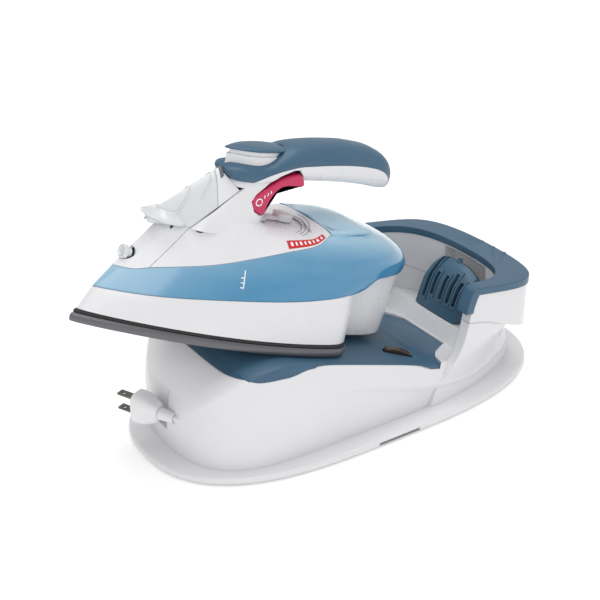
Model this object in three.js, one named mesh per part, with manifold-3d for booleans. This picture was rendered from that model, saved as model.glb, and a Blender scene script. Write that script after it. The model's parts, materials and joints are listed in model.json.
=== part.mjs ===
// Cordless steam iron held just above its charging base, millimetres, +Z up.
// The nose points to -X, the side nearest the user is -Y. The origin is under the middle of the
// whole object's box, on the surface that the base stands on.
import * as THREE from "three";
import { mergeVertices } from "three/addons/utils/BufferGeometryUtils.js";
import Module from "manifold-3d";

const wasm = await Module();
wasm.setup();

// ---------------------------------------------------------------- driving dimensions
const GAP = 0.3; // clearance between pieces that touch
const PITCH = THREE.MathUtils.degToRad(18.7); // slope of the tray, and of the iron above it

const IRON_NOSE = [-238, 0, 136.2]; // soleplate's front tip in the base's frame
const DOCK_TRAVEL = 67.5; // how far the iron slides back to meet the connector

const SOLE_LENGTH = 222;
const SOLE_HALF_WIDTH = 59.3;
const SOLE_WIDEST_AT = 186;
const SOLE_THICK = 7;
const RIM_TOP = 9.8;
const WALL = 2.4; // moulded wall thickness

const BASE_HALF_WIDTH = 92;
const BASE_FRONT = -187;
const BASE_REAR = 177;
const FLANGE_LOW = 1.6;
const FLANGE_TOP = 6.2;
const ISLAND_FRONT = -168;
const WALL_TOP = 104;
const TRAY_REAR_X = 88;
const TRAY_REAR_Z = 24.8;

// ---------------------------------------------------------------- colours
const WHITE = { color: 0xebebee, roughness: 0.32, metalness: 0 };
const SLATE = { color: 0x46647e, roughness: 0.45, metalness: 0 };
const TANK_BLUE = { color: 0x5aa5d2, roughness: 0.18, metalness: 0 };
const CLEAR = { color: 0xdde7ee, roughness: 0.12, metalness: 0 };
const MAGENTA = { color: 0xb4225a, roughness: 0.35, metalness: 0 };
const GREY = { color: 0xb9bcc1, roughness: 0.4, metalness: 0 };
const BLACK = { color: 0x14110f, roughness: 0.55, metalness: 0 };
const SOLE_GREY = { color: 0x66666b, roughness: 0.38, metalness: 0.6 };
const ALUMINIUM = { color: 0xa6a8ab, roughness: 0.5, metalness: 0.9 };
const BRASS = { color: 0xb08d4f, roughness: 0.35, metalness: 1 };
const STEEL = { color: 0x9b9da1, roughness: 0.35, metalness: 1 };
const RUBBER = { color: 0x2a2a2c, roughness: 0.85, metalness: 0 };
const BOARD = { color: 0x1e5a34, roughness: 0.6, metalness: 0 };
const BRONZE = { color: 0x5a4a35, roughness: 0.35, metalness: 0.8 };

// ---------------------------------------------------------------- solids and booleans
function solidOf(geometry) {
  const bare = geometry.index ? geometry.toNonIndexed() : geometry.clone();
  for (const name of Object.keys(bare.attributes)) {
    if (name !== "position") {
      bare.deleteAttribute(name);
    }
  }
  const merged = mergeVertices(bare, 1e-4);
  const made = new wasm.Manifold(
    new wasm.Mesh({
      numProp: 3,
      vertProperties: merged.attributes.position.array,
      triVerts: new Uint32Array(merged.index.array),
    }),
  );
  return made;
}

function geometryOf(solid) {
  const mesh = solid.getMesh();
  const geometry = new THREE.BufferGeometry();
  const position = new Float32Array(mesh.vertProperties);
  geometry.setAttribute("position", new THREE.BufferAttribute(position, 3));
  geometry.setIndex(new THREE.BufferAttribute(new Uint32Array(mesh.triVerts), 1));
  geometry.computeVertexNormals();
  return geometry;
}

function placed(geometry, at = [0, 0, 0], turn = [0, 0, 0]) {
  const matrix = new THREE.Matrix4().makeRotationFromEuler(new THREE.Euler(...turn));
  matrix.setPosition(...at);
  return geometry.clone().applyMatrix4(matrix);
}

function box(size, at, turn) {
  return solidOf(placed(new THREE.BoxGeometry(...size), at, turn));
}

// A cylinder along z.
function rod(radius, height, at, turn, sides = 20, top = radius) {
  const geometry = new THREE.CylinderGeometry(top, radius, height, sides);
  geometry.rotateX(Math.PI / 2);
  return solidOf(placed(geometry, at, turn));
}

// A closed lathe profile of [radius, z] pairs, turned about z.
function lathed(profile, at, turn, sides = 24) {
  const points = profile.map(([r, z]) => new THREE.Vector2(r, z));
  const geometry = new THREE.LatheGeometry(points, sides);
  geometry.rotateX(Math.PI / 2);
  let solid = solidOf(placed(geometry, at, turn));
  if (solid.volume() < 0) {
    points.reverse();
    const back = new THREE.LatheGeometry(points, sides);
    back.rotateX(Math.PI / 2);
    solid = solidOf(placed(back, at, turn));
  }
  return solid;
}

function shapeOf(outline) {
  return new THREE.Shape(outline.map(([a, b]) => new THREE.Vector2(a, b)));
}

// An outline in the xy plane, drawn out from z = low to z = high.
function slab(outline, low, high) {
  const geometry = new THREE.ExtrudeGeometry(shapeOf(outline), {
    depth: high - low,
    bevelEnabled: false,
  });
  return solidOf(placed(geometry, [0, 0, low]));
}

// An outline in the xz plane, drawn out to both sides along y.
function across(outline, halfWidth, centre = 0) {
  const geometry = new THREE.ExtrudeGeometry(shapeOf(outline), {
    depth: 2 * halfWidth,
    bevelEnabled: false,
  });
  geometry.rotateX(Math.PI / 2);
  return solidOf(placed(geometry, [0, centre + halfWidth, 0]));
}

// A tube of the given section radius along a smooth curve.
function tube(points, radius, steps, sides = 8) {
  const curve = new THREE.CatmullRomCurve3(points.map((p) => new THREE.Vector3(...p)));
  const section = [];
  for (let i = 0; i < sides; i++) {
    const turn = (2 * Math.PI * i) / sides;
    section.push([radius * Math.cos(turn), radius * Math.sin(turn)]);
  }
  return solidOf(
    new THREE.ExtrudeGeometry(shapeOf(section), { steps, extrudePath: curve }),
  );
}

// Rings of equal length joined in order and closed by a fan at each end.
function lofted(rings) {
  const count = rings[0].length;
  const position = [];
  const index = [];
  for (const ring of rings) {
    for (const point of ring) {
      position.push(...point);
    }
  }
  for (let i = 0; i + 1 < rings.length; i++) {
    for (let j = 0; j < count; j++) {
      const a = i * count + j;
      const b = i * count + ((j + 1) % count);
      index.push(a, b, b + count, a, b + count, a + count);
    }
  }
  for (const [ring, first] of [[rings[0], 0], [rings.at(-1), (rings.length - 1) * count]]) {
    const centre = position.length / 3;
    for (let axis = 0; axis < 3; axis++) {
      position.push(ring.reduce((sum, point) => sum + point[axis], 0) / count);
    }
    for (let j = 0; j < count; j++) {
      const a = first + j;
      const b = first + ((j + 1) % count);
      index.push(...(first === 0 ? [centre, b, a] : [centre, a, b]));
    }
  }
  const geometry = new THREE.BufferGeometry();
  geometry.setAttribute("position", new THREE.Float32BufferAttribute(position, 3));
  geometry.setIndex(index);
  const solid = solidOf(geometry);
  if (solid.volume() > 0) {
    return solid;
  }
  for (let i = 0; i < index.length; i += 3) {
    [index[i + 1], index[i + 2]] = [index[i + 2], index[i + 1]];
  }
  geometry.setIndex(index);
  return solidOf(geometry);
}

// Piecewise linear interpolation through [at, value, value...] rows.
function follow(rows, at) {
  if (at <= rows[0][0]) {
    return rows[0].slice(1);
  }
  for (let i = 1; i < rows.length; i++) {
    if (at <= rows[i][0]) {
      const t = (at - rows[i - 1][0]) / (rows[i][0] - rows[i - 1][0]);
      return rows[i].slice(1).map((v, k) => rows[i - 1][k + 1] * (1 - t) + v * t);
    }
  }
  return rows.at(-1).slice(1);
}

// ---------------------------------------------------------------- the scene graph
const part = new THREE.Group();
const base = new THREE.Group();
const iron = new THREE.Group();
iron.position.set(...IRON_NOSE);
iron.rotation.y = PITCH;
part.add(base, iron);

function add(group, name, solid, look) {
  const material = new THREE.MeshStandardMaterial(look);
  const mesh = new THREE.Mesh(geometryOf(solid), material);
  mesh.name = name;
  group.add(mesh);
  return mesh;
}

// ================================================================ the iron
// Its own frame: x runs back from the soleplate's tip, z is square to the soleplate.

// Half width of a boat-shaped outline at x.
function boatHalf(x, b) {
  if (x <= b.nose || x >= b.tail) {
    return 0;
  }
  if (x <= b.widest) {
    return b.half * Math.sin((Math.PI / 2) * ((x - b.nose) / (b.widest - b.nose))) ** b.bow;
  }
  return b.half * (1 - ((x - b.widest) / (b.tail - b.widest)) ** b.stern) ** (1 / b.stern);
}

const BOAT_POINTS = 14; // points on each side of a boat outline

function boatOutline(b, inset = 0) {
  const near = [];
  const nose = b.nose + inset * 1.6;
  const tail = b.tail - inset;
  const shape = { ...b, nose, tail, half: b.half - inset };
  for (let i = 0; i <= BOAT_POINTS; i++) {
    const t = i / BOAT_POINTS;
    const x = nose + (tail - nose) * (0.5 - 0.5 * Math.cos(Math.PI * t)) ** 1.1;
    near.push([x, -boatHalf(x, shape)]);
  }
  near[0] = [nose, 0];
  near[BOAT_POINTS] = [tail, 0];
  const far = near.slice(1, -1).reverse();
  return [...near, ...far.map(([x, y]) => [x, -y])];
}

const SOLE = {
  nose: 0,
  widest: SOLE_WIDEST_AT,
  half: SOLE_HALF_WIDTH,
  tail: SOLE_LENGTH,
  bow: 0.85,
  stern: 3.4,
};

// Body outlines by height: nose, widest, half width, tail.
const BODY = [
  [10, 4, 180, 57.4, 222],
  [27, 12, 178, 56.6, 222],
  [35, 17.5, 176, 55.8, 222],
  [43.5, 23.8, 174, 54.6, 232],
  [52, 30, 172, 53, 256],
  [58, 35, 170, 51.4, 274],
  [63, 38.5, 170, 50, 283.5],
  [69, 43, 170, 48, 285.5],
  [76, 50, 170, 45.6, 280],
  [84, 60, 170, 41.6, 265],
  [90, 75, 170, 36.4, 247],
  [92.3, 172, 196, 33, 238],
  [94.5, 182, 200, 27, 229],
  [96.6, 190, 204, 18.5, 219],
  [97.8, 197, 206, 8, 213],
];
const SKIRT_TOP = [
  [0, 25.4],
  [11, 27],
  [46, 30],
  [106, 37.5],
  [163, 43.5],
  [217, 50],
  [235, 60.5],
  [300, 62.5],
];
const SHELL_FOOT = [
  [22, 44],
  [35, 45.2],
  [45, 48.5],
  [86, 59.5],
  [115, 69],
  [141, 77],
  [165, 83],
  [179, 90],
];
const SHELL_REAR = 181;

function bodyAt(z) {
  const [nose, widest, half, tail] = follow(BODY, z);
  return { nose, widest, half, tail, bow: 0.8, stern: 2.3 };
}

function bodyStack(heights, inset = 0, changes = {}) {
  return lofted(
    heights.map((z) => {
      const outline = boatOutline({ ...bodyAt(z), ...changes }, inset);
      return outline.map(([x, y]) => [x, y, z]);
    }),
  );
}

function lineOf(rows, from, to, lift = 0) {
  const xs = [from, ...rows.map((row) => row[0]).filter((x) => x > from && x < to), to];
  return xs.map((x) => [x, follow(rows, x)[0] + lift]);
}

// Everything above (or below) a line drawn in the xz plane.
function above(rows, lift, from = -20, to = 320) {
  return across([...lineOf(rows, from, to, lift), [to, 300], [from, 300]], 90);
}

function below(rows, lift, from = -20, to = 320) {
  return across([[from, -60], [to, -60], ...lineOf(rows, from, to, lift).reverse()], 90);
}

// ---- soleplate with its steam holes, and the dark rim above it
const soleOutline = boatOutline(SOLE);
let soleplate = lofted([
  boatOutline(SOLE, 1.6).map(([x, y]) => [x, y, 0]),
  soleOutline.map(([x, y]) => [x, y, 1.6]),
  soleOutline.map(([x, y]) => [x, y, SOLE_THICK - 0.8]),
  boatOutline(SOLE, 0.8).map(([x, y]) => [x, y, SOLE_THICK]),
]);
const STEAM_HOLES = [];
for (let i = 0; i < 6; i++) {
  const x = 34 + i * 25;
  const y = boatHalf(x, SOLE) - 11;
  STEAM_HOLES.push([x, y], [x, -y]);
}
STEAM_HOLES.push([26, 0], [52, 0]);
for (const [x, y] of STEAM_HOLES) {
  soleplate = soleplate.subtract(rod(2.1, 20, [x, y, 3], [0, 0, 0], 8));
}
add(iron, "soleplate", soleplate, SOLE_GREY);

function rimPlate(low, high, inset, innerInset) {
  const outer = slab(boatOutline(SOLE, inset), low, high);
  return outer.subtract(slab(boatOutline(SOLE, innerInset), low - 1, high + 1));
}
add(iron, "sole_rim", rimPlate(SOLE_THICK + GAP, RIM_TOP, 1.2, 9), BLACK);

// ---- lower skirt
const skirtHeights = [RIM_TOP + GAP, 20, 30, 40, 52];
const skirtLine = SKIRT_TOP.slice(0, 6);
let skirt = bodyStack(skirtHeights, 0, { tail: 221.5, stern: 3.4 });
skirt = skirt.subtract(
  bodyStack([8, ...skirtHeights.slice(1, -1), 54], WALL, { tail: 221.5, stern: 3.4 }),
);
skirt = skirt.subtract(above(skirtLine, 0, -20, 260));
add(iron, "skirt", skirt, WHITE);

// ---- water tank: translucent blue, hollow, open under the filler and over the drip valve
const tankHeights = [24, 30, 36, 43.5, 52, 58, 63, 69, 76, 84, 90, 92.3, 94.5, 96.6, 97.8];
let tankOuter = bodyStack(tankHeights);
tankOuter = tankOuter.subtract(below(SKIRT_TOP, GAP));
tankOuter = tankOuter.subtract(above(SHELL_FOOT, -GAP, -20, SHELL_REAR + GAP));
let tankInner = bodyStack(tankHeights.slice(0, -1).concat([95.8]), WALL);
tankInner = tankInner.subtract(below(SKIRT_TOP, GAP + WALL));
tankInner = tankInner.subtract(above(SHELL_FOOT, -GAP - WALL, -20, SHELL_REAR + GAP + WALL));
const FILLER_HOLE = [70, 0];
const VALVE_AT = [104, 0];
let tank = tankOuter.subtract(tankInner);
tank = tank.subtract(rod(9, 40, [FILLER_HOLE[0], 0, 60], [0, 0, 0], 16));
tank = tank.subtract(rod(4.2, 60, [VALVE_AT[0], 0, 50], [0, 0, 0], 12));
tank = tank.subtract(rod(5, 40, [40, 0, 44], [0, 0, 0], 12));
const LEVER_AT = [134, 0];
tank = tank.add(rod(7.2, 33, [LEVER_AT[0], 0, 57.8], [0, 0, 0], 16));
tank = tank.subtract(rod(4.6, 90, [LEVER_AT[0], 0, 62], [0, 0, 0], 16));
add(iron, "water_tank", tank, TANK_BLUE);

// ---- upper shell: arched sections along x, from the nose to the scale deck
const CROWN = [
  [22, 43.6, 1.6],
  [24, 45, 1.6],
  [35, 58, 1.5],
  [42, 66.5, 1.45],
  [50, 75.4, 1.4],
  [52, 86.8, 1.35],
  [60, 93, 1.35],
  [70, 100.8, 1.35],
  [82, 110, 1.4],
  [94, 117.8, 1.5],
  [106, 108, 1.7],
  [118, 98, 2.2],
  [128, 90.4, 3],
  [136, 87.4, 4.5],
  [165, 87.4, 5],
  [172, 89.2, 5],
  [181, 92.6, 4.5],
];
const ARCH_STATIONS = [
  ...new Set([22.5, 28, ...[...SHELL_FOOT, ...CROWN].map((row) => row[0]).filter((x) => x > 23)]),
].sort((a, b) => a - b);
const ARCH_POINTS = 14;

function archRing(x, inset = 0, deep = 0) {
  const foot = follow(SHELL_FOOT, x)[0] - deep;
  const [crown, power] = follow(CROWN, x);
  const half = Math.max(boatHalf(x, bodyAt(foot + deep)) - inset, 0.4);
  const rise = Math.max(crown - inset * 1.25 - foot, 0.3);
  const ring = [];
  for (let i = 0; i <= ARCH_POINTS; i++) {
    const s = Math.sin((Math.PI / 2) * ((2 * i) / ARCH_POINTS - 1));
    ring.push([x, half * s, foot + rise * (1 - Math.abs(s) ** power)]);
  }
  return ring;
}

const shellOuter = lofted(ARCH_STATIONS.map((x) => archRing(x)));
const innerStations = [30, ...ARCH_STATIONS.filter((x) => x > 34 && x < 176), 178.4];
const shellInner = lofted(innerStations.map((x) => archRing(x, WALL, 4)));

// The pedestal that carries the handle, a tapering block with rounded ends.
const PEDESTAL = [
  [80, 66, 138, 24],
  [92, 74, 140, 22.5],
  [104, 84, 143.5, 20],
  [114, 93, 149, 18],
  [121.5, 101, 155, 16.6],
];

function ovalRing(z, from, to, half, inset = 0, power = 3) {
  const ring = [];
  const centre = (from + to) / 2;
  const reach = (to - from) / 2 - inset;
  for (let i = 0; i < 24; i++) {
    const turn = (2 * Math.PI * i) / 24;
    const c = Math.cos(turn);
    const s = Math.sin(turn);
    const x = centre + reach * Math.sign(c) * Math.abs(c) ** (2 / power);
    const y = (half - inset) * Math.sign(s) * Math.abs(s) ** (2 / power);
    ring.push([x, y, z]);
  }
  return ring;
}

const pedestalOuter = lofted(PEDESTAL.map(([z, a, b, h]) => ovalRing(z, a, b, h)));
const pedestalInner = lofted(
  [[70, 62, 136, 24], ...PEDESTAL, [124, 103, 157, 16.2]].map(([z, a, b, h]) =>
    ovalRing(z, a, b, h, WALL),
  ),
);
let upper = shellOuter.add(pedestalOuter);
upper = upper.subtract(shellInner).subtract(pedestalInner);

// The seam between the side shell and the front cover.
const SEAM = [
  [45, 40],
  [45, 48.5],
  [70, 80.6],
  [106, 114],
  [106, 140],
];
const frontSide = across([[-10, 30], ...SEAM, [-10, 140]], 80);
const seamGrown = SEAM.map(([x, z]) => [x + GAP, z - 0.1]);
const frontSideGrown = across([[-10, 30], ...seamGrown, [-10, 140]], 80);

// The filler door caps the ridge behind the lip; a fixed band joins it to the handle's collar.
const DOOR_STATIONS = [42, 46, 52, 60, 68, 76, 84, 92, 100, 107];
const NEST_EDGE = [
  [41, 78.2],
  [47, 78.4],
  [70, 80.9],
  [103, 111.5],
  [88.8, 124.4],
  [87, 140],
  [41, 140],
];
const DOOR_HINGE = [88.6, 122.4];
const DOOR_EDGE = [...NEST_EDGE.slice(0, 3), [88, 97.6], [88, 140], [41, 140]];
const BAND_EDGE = [
  [88 + GAP, 97.9],
  [103, 111.5],
  [89.6, 123.7],
  [88 + GAP, 123.7],
];

function doorRing(x, lower) {
  const foot = follow(SHELL_FOOT, x)[0];
  const half = boatHalf(x, bodyAt(foot));
  const rise = 84.6 + (x - 42) * 0.785 - lower - foot;
  const ring = [];
  for (let i = 0; i <= ARCH_POINTS; i++) {
    const s = Math.sin((Math.PI / 2) * ((2 * i) / ARCH_POINTS - 1));
    ring.push([x, half * s, foot + rise * (1 - Math.abs(s) ** 1.38)]);
  }
  return ring;
}

const doorOuter = lofted(DOOR_STATIONS.map((x) => doorRing(x, 0)));
const doorInner = lofted([36, ...DOOR_STATIONS, 116].map((x) => doorRing(x, 3.2)));
const doorShell = doorOuter.subtract(doorInner);
add(iron, "filler_door", doorShell.intersect(across(DOOR_EDGE, 60)), CLEAR);
add(iron, "door_band", doorShell.intersect(across(BAND_EDGE, 60)), WHITE);
const doorNest = across(NEST_EDGE.map(([x, z], i) => [x + (i < 2 ? -30 : GAP), z - (i < 4 ? GAP : 0)]), 60);
const nestRoof = lofted(
  [30, 42, 46, 52, 60, 68, 76, 84, 92, 100, 107, 116].map((x) => doorRing(x, 3.8)),
);
const clearance = doorNest.subtract(nestRoof);
upper = upper.subtract(clearance);
const chute = across([[58, 30], [84, 30], [84, 130], [58, 130]], 9);

let frontCover = shellOuter.subtract(shellInner).intersect(frontSide);
frontCover = frontCover.subtract(clearance).subtract(chute);
let sideShell = upper.subtract(frontSideGrown).subtract(chute);

// A well in the side shell for the lever's shaft.
sideShell = sideShell.subtract(rod(4.6, 40, [LEVER_AT[0], 0, 72], [0, 0, 0], 16));

// ---- spray nozzle in the front cover
const NOZZLE_AT = [31.2, 0, 54.4];
const NOZZLE_TURN = [0, -0.88, 0];
const nozzleHole = rod(5.4, 18, NOZZLE_AT, NOZZLE_TURN, 20);
frontCover = frontCover.subtract(nozzleHole);
const nozzle = lathed(
  [[1.1, -7], [3.6, -7], [3.6, -2.4], [5, -2.4], [5, 1], [4.2, 1.7], [2.6, 1.7], [1.1, 0.2], [1.1, -7]],
  NOZZLE_AT,
  NOZZLE_TURN,
  20,
);
add(iron, "spray_nozzle", nozzle, GREY);
add(iron, "front_cover", frontCover, WHITE);

// ---- handle: a bar that cantilevers back from the pedestal
const HANDLE = [
  // x, underside z, top z, half width
  [93, 121.5, 124.6, 9],
  [97, 117.5, 128, 14],
  [105, 115, 129.6, 17],
  [118, 114, 131.5, 18.4],
  [126, 116, 136, 18.6],
  [132, 117.6, 141.5, 18.8],
  [138, 119.4, 146.4, 18.9],
  [145, 121, 150, 19],
  [160, 123.2, 153.4, 19],
  [180, 125, 156.2, 19],
  [200, 126.4, 157.6, 19],
  [216, 127.2, 157.4, 19],
  [228, 127.4, 155.2, 17.6],
  [236, 126.6, 151, 14.4],
  [242, 125, 144.5, 9.6],
  [245.5, 125.6, 137, 4],
];
const GRIP_LINE = [
  [80, 108],
  [100, 110],
  [107, 115],
  [119, 123.5],
  [137, 132.5],
  [153, 137.5],
  [211, 144],
  [221, 143.6],
  [229, 141.4],
  [236, 137.6],
  [242, 132.8],
  [260, 116],
];

function barRing(x, low, high, half, inset = 0) {
  const ring = [];
  const centre = (low + high) / 2;
  const reach = (high - low) / 2 - inset;
  for (let i = 0; i < 20; i++) {
    const turn = (2 * Math.PI * i) / 20;
    const c = Math.cos(turn);
    const s = Math.sin(turn);
    const y = (half - inset) * Math.sign(c) * Math.abs(c) ** 0.8;
    ring.push([x, y, centre + reach * Math.sign(s) * Math.abs(s) ** 0.8]);
  }
  return ring;
}

const handleOuter = lofted(HANDLE.map(([x, low, high, half]) => barRing(x, low, high, half)));
const handleInner = lofted(
  HANDLE.slice(2, -1).map(([x, low, high, half]) => barRing(x, low, high, half, 3)),
);
let grip = handleOuter.subtract(handleInner).subtract(below(GRIP_LINE, GAP / 2));
let underside = handleOuter.subtract(handleInner).subtract(above(GRIP_LINE, -GAP / 2));

// The pedestal's top enters the underside, so the underside is cut to clear it.
const pedestalGrown = lofted(
  [...PEDESTAL, [126, 101, 157, 16.6]].map(([z, a, b, h]) => ovalRing(z, a, b, h, -GAP)),
);
underside = underside.subtract(pedestalGrown);
grip = grip.subtract(pedestalGrown);

// ---- white block on the grip, the blue spray button in it, and its pump below
const BUTTON_TILT = 0.1;
const BUTTON_AT = [119, 0, 141];
const blockTurn = [0, -BUTTON_TILT, 0];

function ovalColumn(low, high, reach, half, at, turn, power = 2.6) {
  const rings = [low, high].map((z) => ovalRing(z, -reach, reach, half, 0, power));
  const matrix = new THREE.Matrix4().makeRotationFromEuler(new THREE.Euler(...turn));
  matrix.setPosition(...at);
  const turned = rings.map((ring) =>
    ring.map((p) => new THREE.Vector3(...p).applyMatrix4(matrix).toArray()),
  );
  return lofted(turned);
}

const blockHole = ovalColumn(-22, 30, 24, 12.6, BUTTON_AT, blockTurn);
grip = grip.subtract(blockHole);
add(iron, "handle_grip", grip, SLATE);
let block = ovalColumn(-12, 1.6, 23.7, 12.3, BUTTON_AT, blockTurn);
block = block.subtract(ovalColumn(-20, 30, 21, 9.8, BUTTON_AT, blockTurn));
add(iron, "button_block", block, WHITE);
let button = ovalColumn(-4.5, 4.4, 20.6, 9.4, BUTTON_AT, blockTurn);
button = button.subtract(ovalColumn(-10, 2.2, 18.6, 7.4, BUTTON_AT, blockTurn));
const cross = box([3, 16, 4], [0, 0, 0]).add(rod(2.4, 16, [0, 0, -4.8], [0, 0, 0], 12));
const crossPlaced = solidOf(placed(geometryOf(cross), BUTTON_AT, blockTurn));
button = button.add(crossPlaced);
add(iron, "spray_button", button, SLATE);
const pumpBody = lathed(
  [[3.2, -22], [6, -22], [6, -13], [3.2, -13], [3.2, -22]],
  BUTTON_AT,
  blockTurn,
  16,
);

// ---- steam trigger under the grip's front, hinged at its lower end
const TRIGGER_PIVOT = [119, 102];
const TRIGGER_SWING = 0.1; // how far a squeeze turns it, radians
const TRIGGER_HALF = 15.5;
const TRIGGER = [
  [123.5, 95.6],
  [128.4, 96.5],
  [129.3, 102.6],
  [131.9, 110.2],
  [136.5, 116.1],
  [142.4, 118.4],
  [155.8, 119.8],
  [156.8, 123.8],
  [152, 128.8],
  [147, 128.4],
  [136.4, 124],
  [124.9, 115.5],
  [117.5, 110.4],
  [113.9, 105.7],
  [116.7, 98.8],
];

// A polygon with each edge moved outwards.
function swollen(outline, by) {
  return outline.map((point, i) => {
    const before = outline.at(i - 1);
    const after = outline[(i + 1) % outline.length];
    const a = new THREE.Vector2(point[0] - before[0], point[1] - before[1]).normalize();
    const b = new THREE.Vector2(after[0] - point[0], after[1] - point[1]).normalize();
    const out = new THREE.Vector2(a.y + b.y, -a.x - b.x).normalize();
    const reach = by / Math.max(0.4, out.dot(new THREE.Vector2(a.y, -a.x)));
    return [point[0] + out.x * reach, point[1] + out.y * reach];
  });
}

function swung(outline, pivot, turn) {
  return outline.map(([x, z]) => [
    pivot[0] + (x - pivot[0]) * Math.cos(turn) - (z - pivot[1]) * Math.sin(turn),
    pivot[1] + (x - pivot[0]) * Math.sin(turn) + (z - pivot[1]) * Math.cos(turn),
  ]);
}

const trigger = across(TRIGGER, TRIGGER_HALF);
add(iron, "steam_trigger", trigger, MAGENTA);
let triggerRoom = across(swollen(TRIGGER, 0.6), 40);
for (const turn of [TRIGGER_SWING / 2, TRIGGER_SWING]) {
  triggerRoom = triggerRoom.add(across(swung(swollen(TRIGGER, 0.6), TRIGGER_PIVOT, turn), 40));
}
underside = underside.subtract(triggerRoom);
sideShell = sideShell.subtract(triggerRoom);

// ---- temperature lever: its hub is under the pedestal and its knob rides over the deck
const LEVER_LOW = 88.2;
const LEVER_SWING = 0.56;
const leverSlot = rod(9.6, 4.2, [LEVER_AT[0], 0, LEVER_LOW + 1.4]).add(
  slab(
    [
      [LEVER_AT[0], 0],
      [170, -26],
      [174, -12],
      [175, 0],
      [174, 12],
      [170, 26],
    ],
    LEVER_LOW - 0.7,
    LEVER_LOW + 3.5,
  ),
);
sideShell = sideShell.subtract(leverSlot);
const lever = rod(9, 2.8, [LEVER_AT[0], 0, LEVER_LOW + 1.4], [0, 0, 0], 24)
  .add(box([22, 7, 2.8], [LEVER_AT[0] + 11, 0, LEVER_LOW + 1.4]))
  .add(box([12, 12, 6], [LEVER_AT[0] + 25, 0, LEVER_LOW + 3]));
add(iron, "temperature_lever", lever, GREY);
add(iron, "handle_underside", underside, WHITE);
add(iron, "upper_housing", sideShell, WHITE);
const SHAFT_LOW = 26;
const shaftLength = LEVER_LOW - GAP - SHAFT_LOW;
add(
  iron,
  "thermostat_shaft",
  rod(3, shaftLength, [LEVER_AT[0], 0, SHAFT_LOW + shaftLength / 2], [0, 0, 0], 12),
  GREY,
);

// ---- soleplate internals: heating element, steam chamber cover, thermostat, thermal fuse
const elementPath = [];
for (let i = 0; i <= 10; i++) {
  const x = 186 - i * 14;
  elementPath.push([x, -(boatHalf(x, SOLE) - 20) * (x < 60 ? 0.9 : 1), 11.4]);
}
elementPath.push([36, 0, 11.4]);
for (let i = 10; i >= 0; i--) {
  elementPath.push([elementPath[i][0], -elementPath[i][1], 11.4]);
}
add(iron, "heating_element", tube(elementPath, 3.4, 44), STEEL);
const chamberOutline = boatOutline({ ...SOLE, nose: 62, widest: 150, half: 22, tail: 176 }, 0);
const chamber = slab(chamberOutline, SOLE_THICK + GAP, 13)
  .subtract(slab(boatOutline({ ...SOLE, nose: 66, widest: 150, half: 19, tail: 173 }), 2, 11))
  .subtract(rod(3.6, 30, [VALVE_AT[0], 0, 13], [0, 0, 0], 12));
add(iron, "steam_chamber", chamber, ALUMINIUM);
const thermostat = rod(9, 11.4, [LEVER_AT[0], 0, 19.2], [0, 0, 0], 20);
add(iron, "thermostat", thermostat, STEEL);
const fuse = rod(2.2, 22, [186, 0, 9.8], [Math.PI / 2, 0, 0], 10);
add(iron, "thermal_fuse", fuse, STEEL);

// ---- steam valve rod, from the tank's drip hole up to the trigger
const rodTop = 106;
const valveRod = rod(1.6, rodTop - 15, [VALVE_AT[0], 0, (rodTop + 15) / 2], [0, 0, 0], 10).add(
  rod(3, 4, [VALVE_AT[0], 0, 36], [0, 0, 0], 12),
);
add(iron, "valve_rod", valveRod, STEEL);

// ---- spray pump under the button
add(iron, "pump_body", pumpBody, GREY);

// ---- heel housing behind the skirt
const HEEL_PLAN = [
  [222.3, 25.5, 0],
  [240, 25.5, 1],
  [256, 24.4, 1],
  [268, 21, 1],
  [275, 16, 1],
  [276.6, 12.5, 1],
];
const HEEL_OUTLINE = [...HEEL_PLAN, ...HEEL_PLAN.map(([x, y, k]) => [x, -y, k]).reverse()];
let heel = lofted(
  [4.4, 12, 40, 59.6].map((z) =>
    HEEL_OUTLINE.map(([x, y, k]) => [x + k * Math.min(z, 42) * 0.075, y, z]),
  ),
);
heel = heel.subtract(box([37, 44, 60], [242.8, 0, 33]));
heel = heel.subtract(above(SKIRT_TOP, 0));

// ---- heel contacts behind the slots in the heel's rear face
const CONTACT_Z = 41.5;
for (const [name, y] of [["heel_contact_l", 8.5], ["heel_contact_n", -3]]) {
  heel = heel.subtract(box([12, 7, 17], [268.2, y, CONTACT_Z]));
  heel = heel.subtract(box([20, 2, 15], [278, y, CONTACT_Z]));
  const contact = box([8, 6.2, 16], [269, y, CONTACT_Z]).subtract(
    box([10, 1.6, 14.6], [271, y, CONTACT_Z]),
  );
  add(iron, name, contact, BRASS);
}
add(iron, "heel_housing", heel, WHITE);

// ================================================================ the base
function superHalf(x, o) {
  const centre = (o.front + o.rear) / 2;
  const reach = (o.rear - o.front) / 2;
  const t = Math.min(Math.abs(x - centre) / reach, 1);
  const power = x < centre ? o.frontPower : o.rearPower;
  return o.half * (1 - t ** power) ** (1 / 2.4);
}

const BASE_POINTS = 14;

function superOutline(o, inset = 0) {
  const shape = { ...o, front: o.front + inset, rear: o.rear - inset, half: o.half - inset };
  const near = [];
  for (let i = 0; i <= BASE_POINTS; i++) {
    const mid = 0.5 - 0.5 * Math.cos((Math.PI * i) / BASE_POINTS);
    const x = shape.front + (shape.rear - shape.front) * mid;
    near.push([x, -superHalf(x, shape)]);
  }
  near[0][1] = 0;
  near[BASE_POINTS][1] = 0;
  return [...near, ...near.slice(1, -1).reverse().map(([x, y]) => [x, -y])];
}

const FLANGE = {
  front: BASE_FRONT,
  rear: BASE_REAR,
  half: BASE_HALF_WIDTH,
  frontPower: 3.3,
  rearPower: 3,
};
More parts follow.
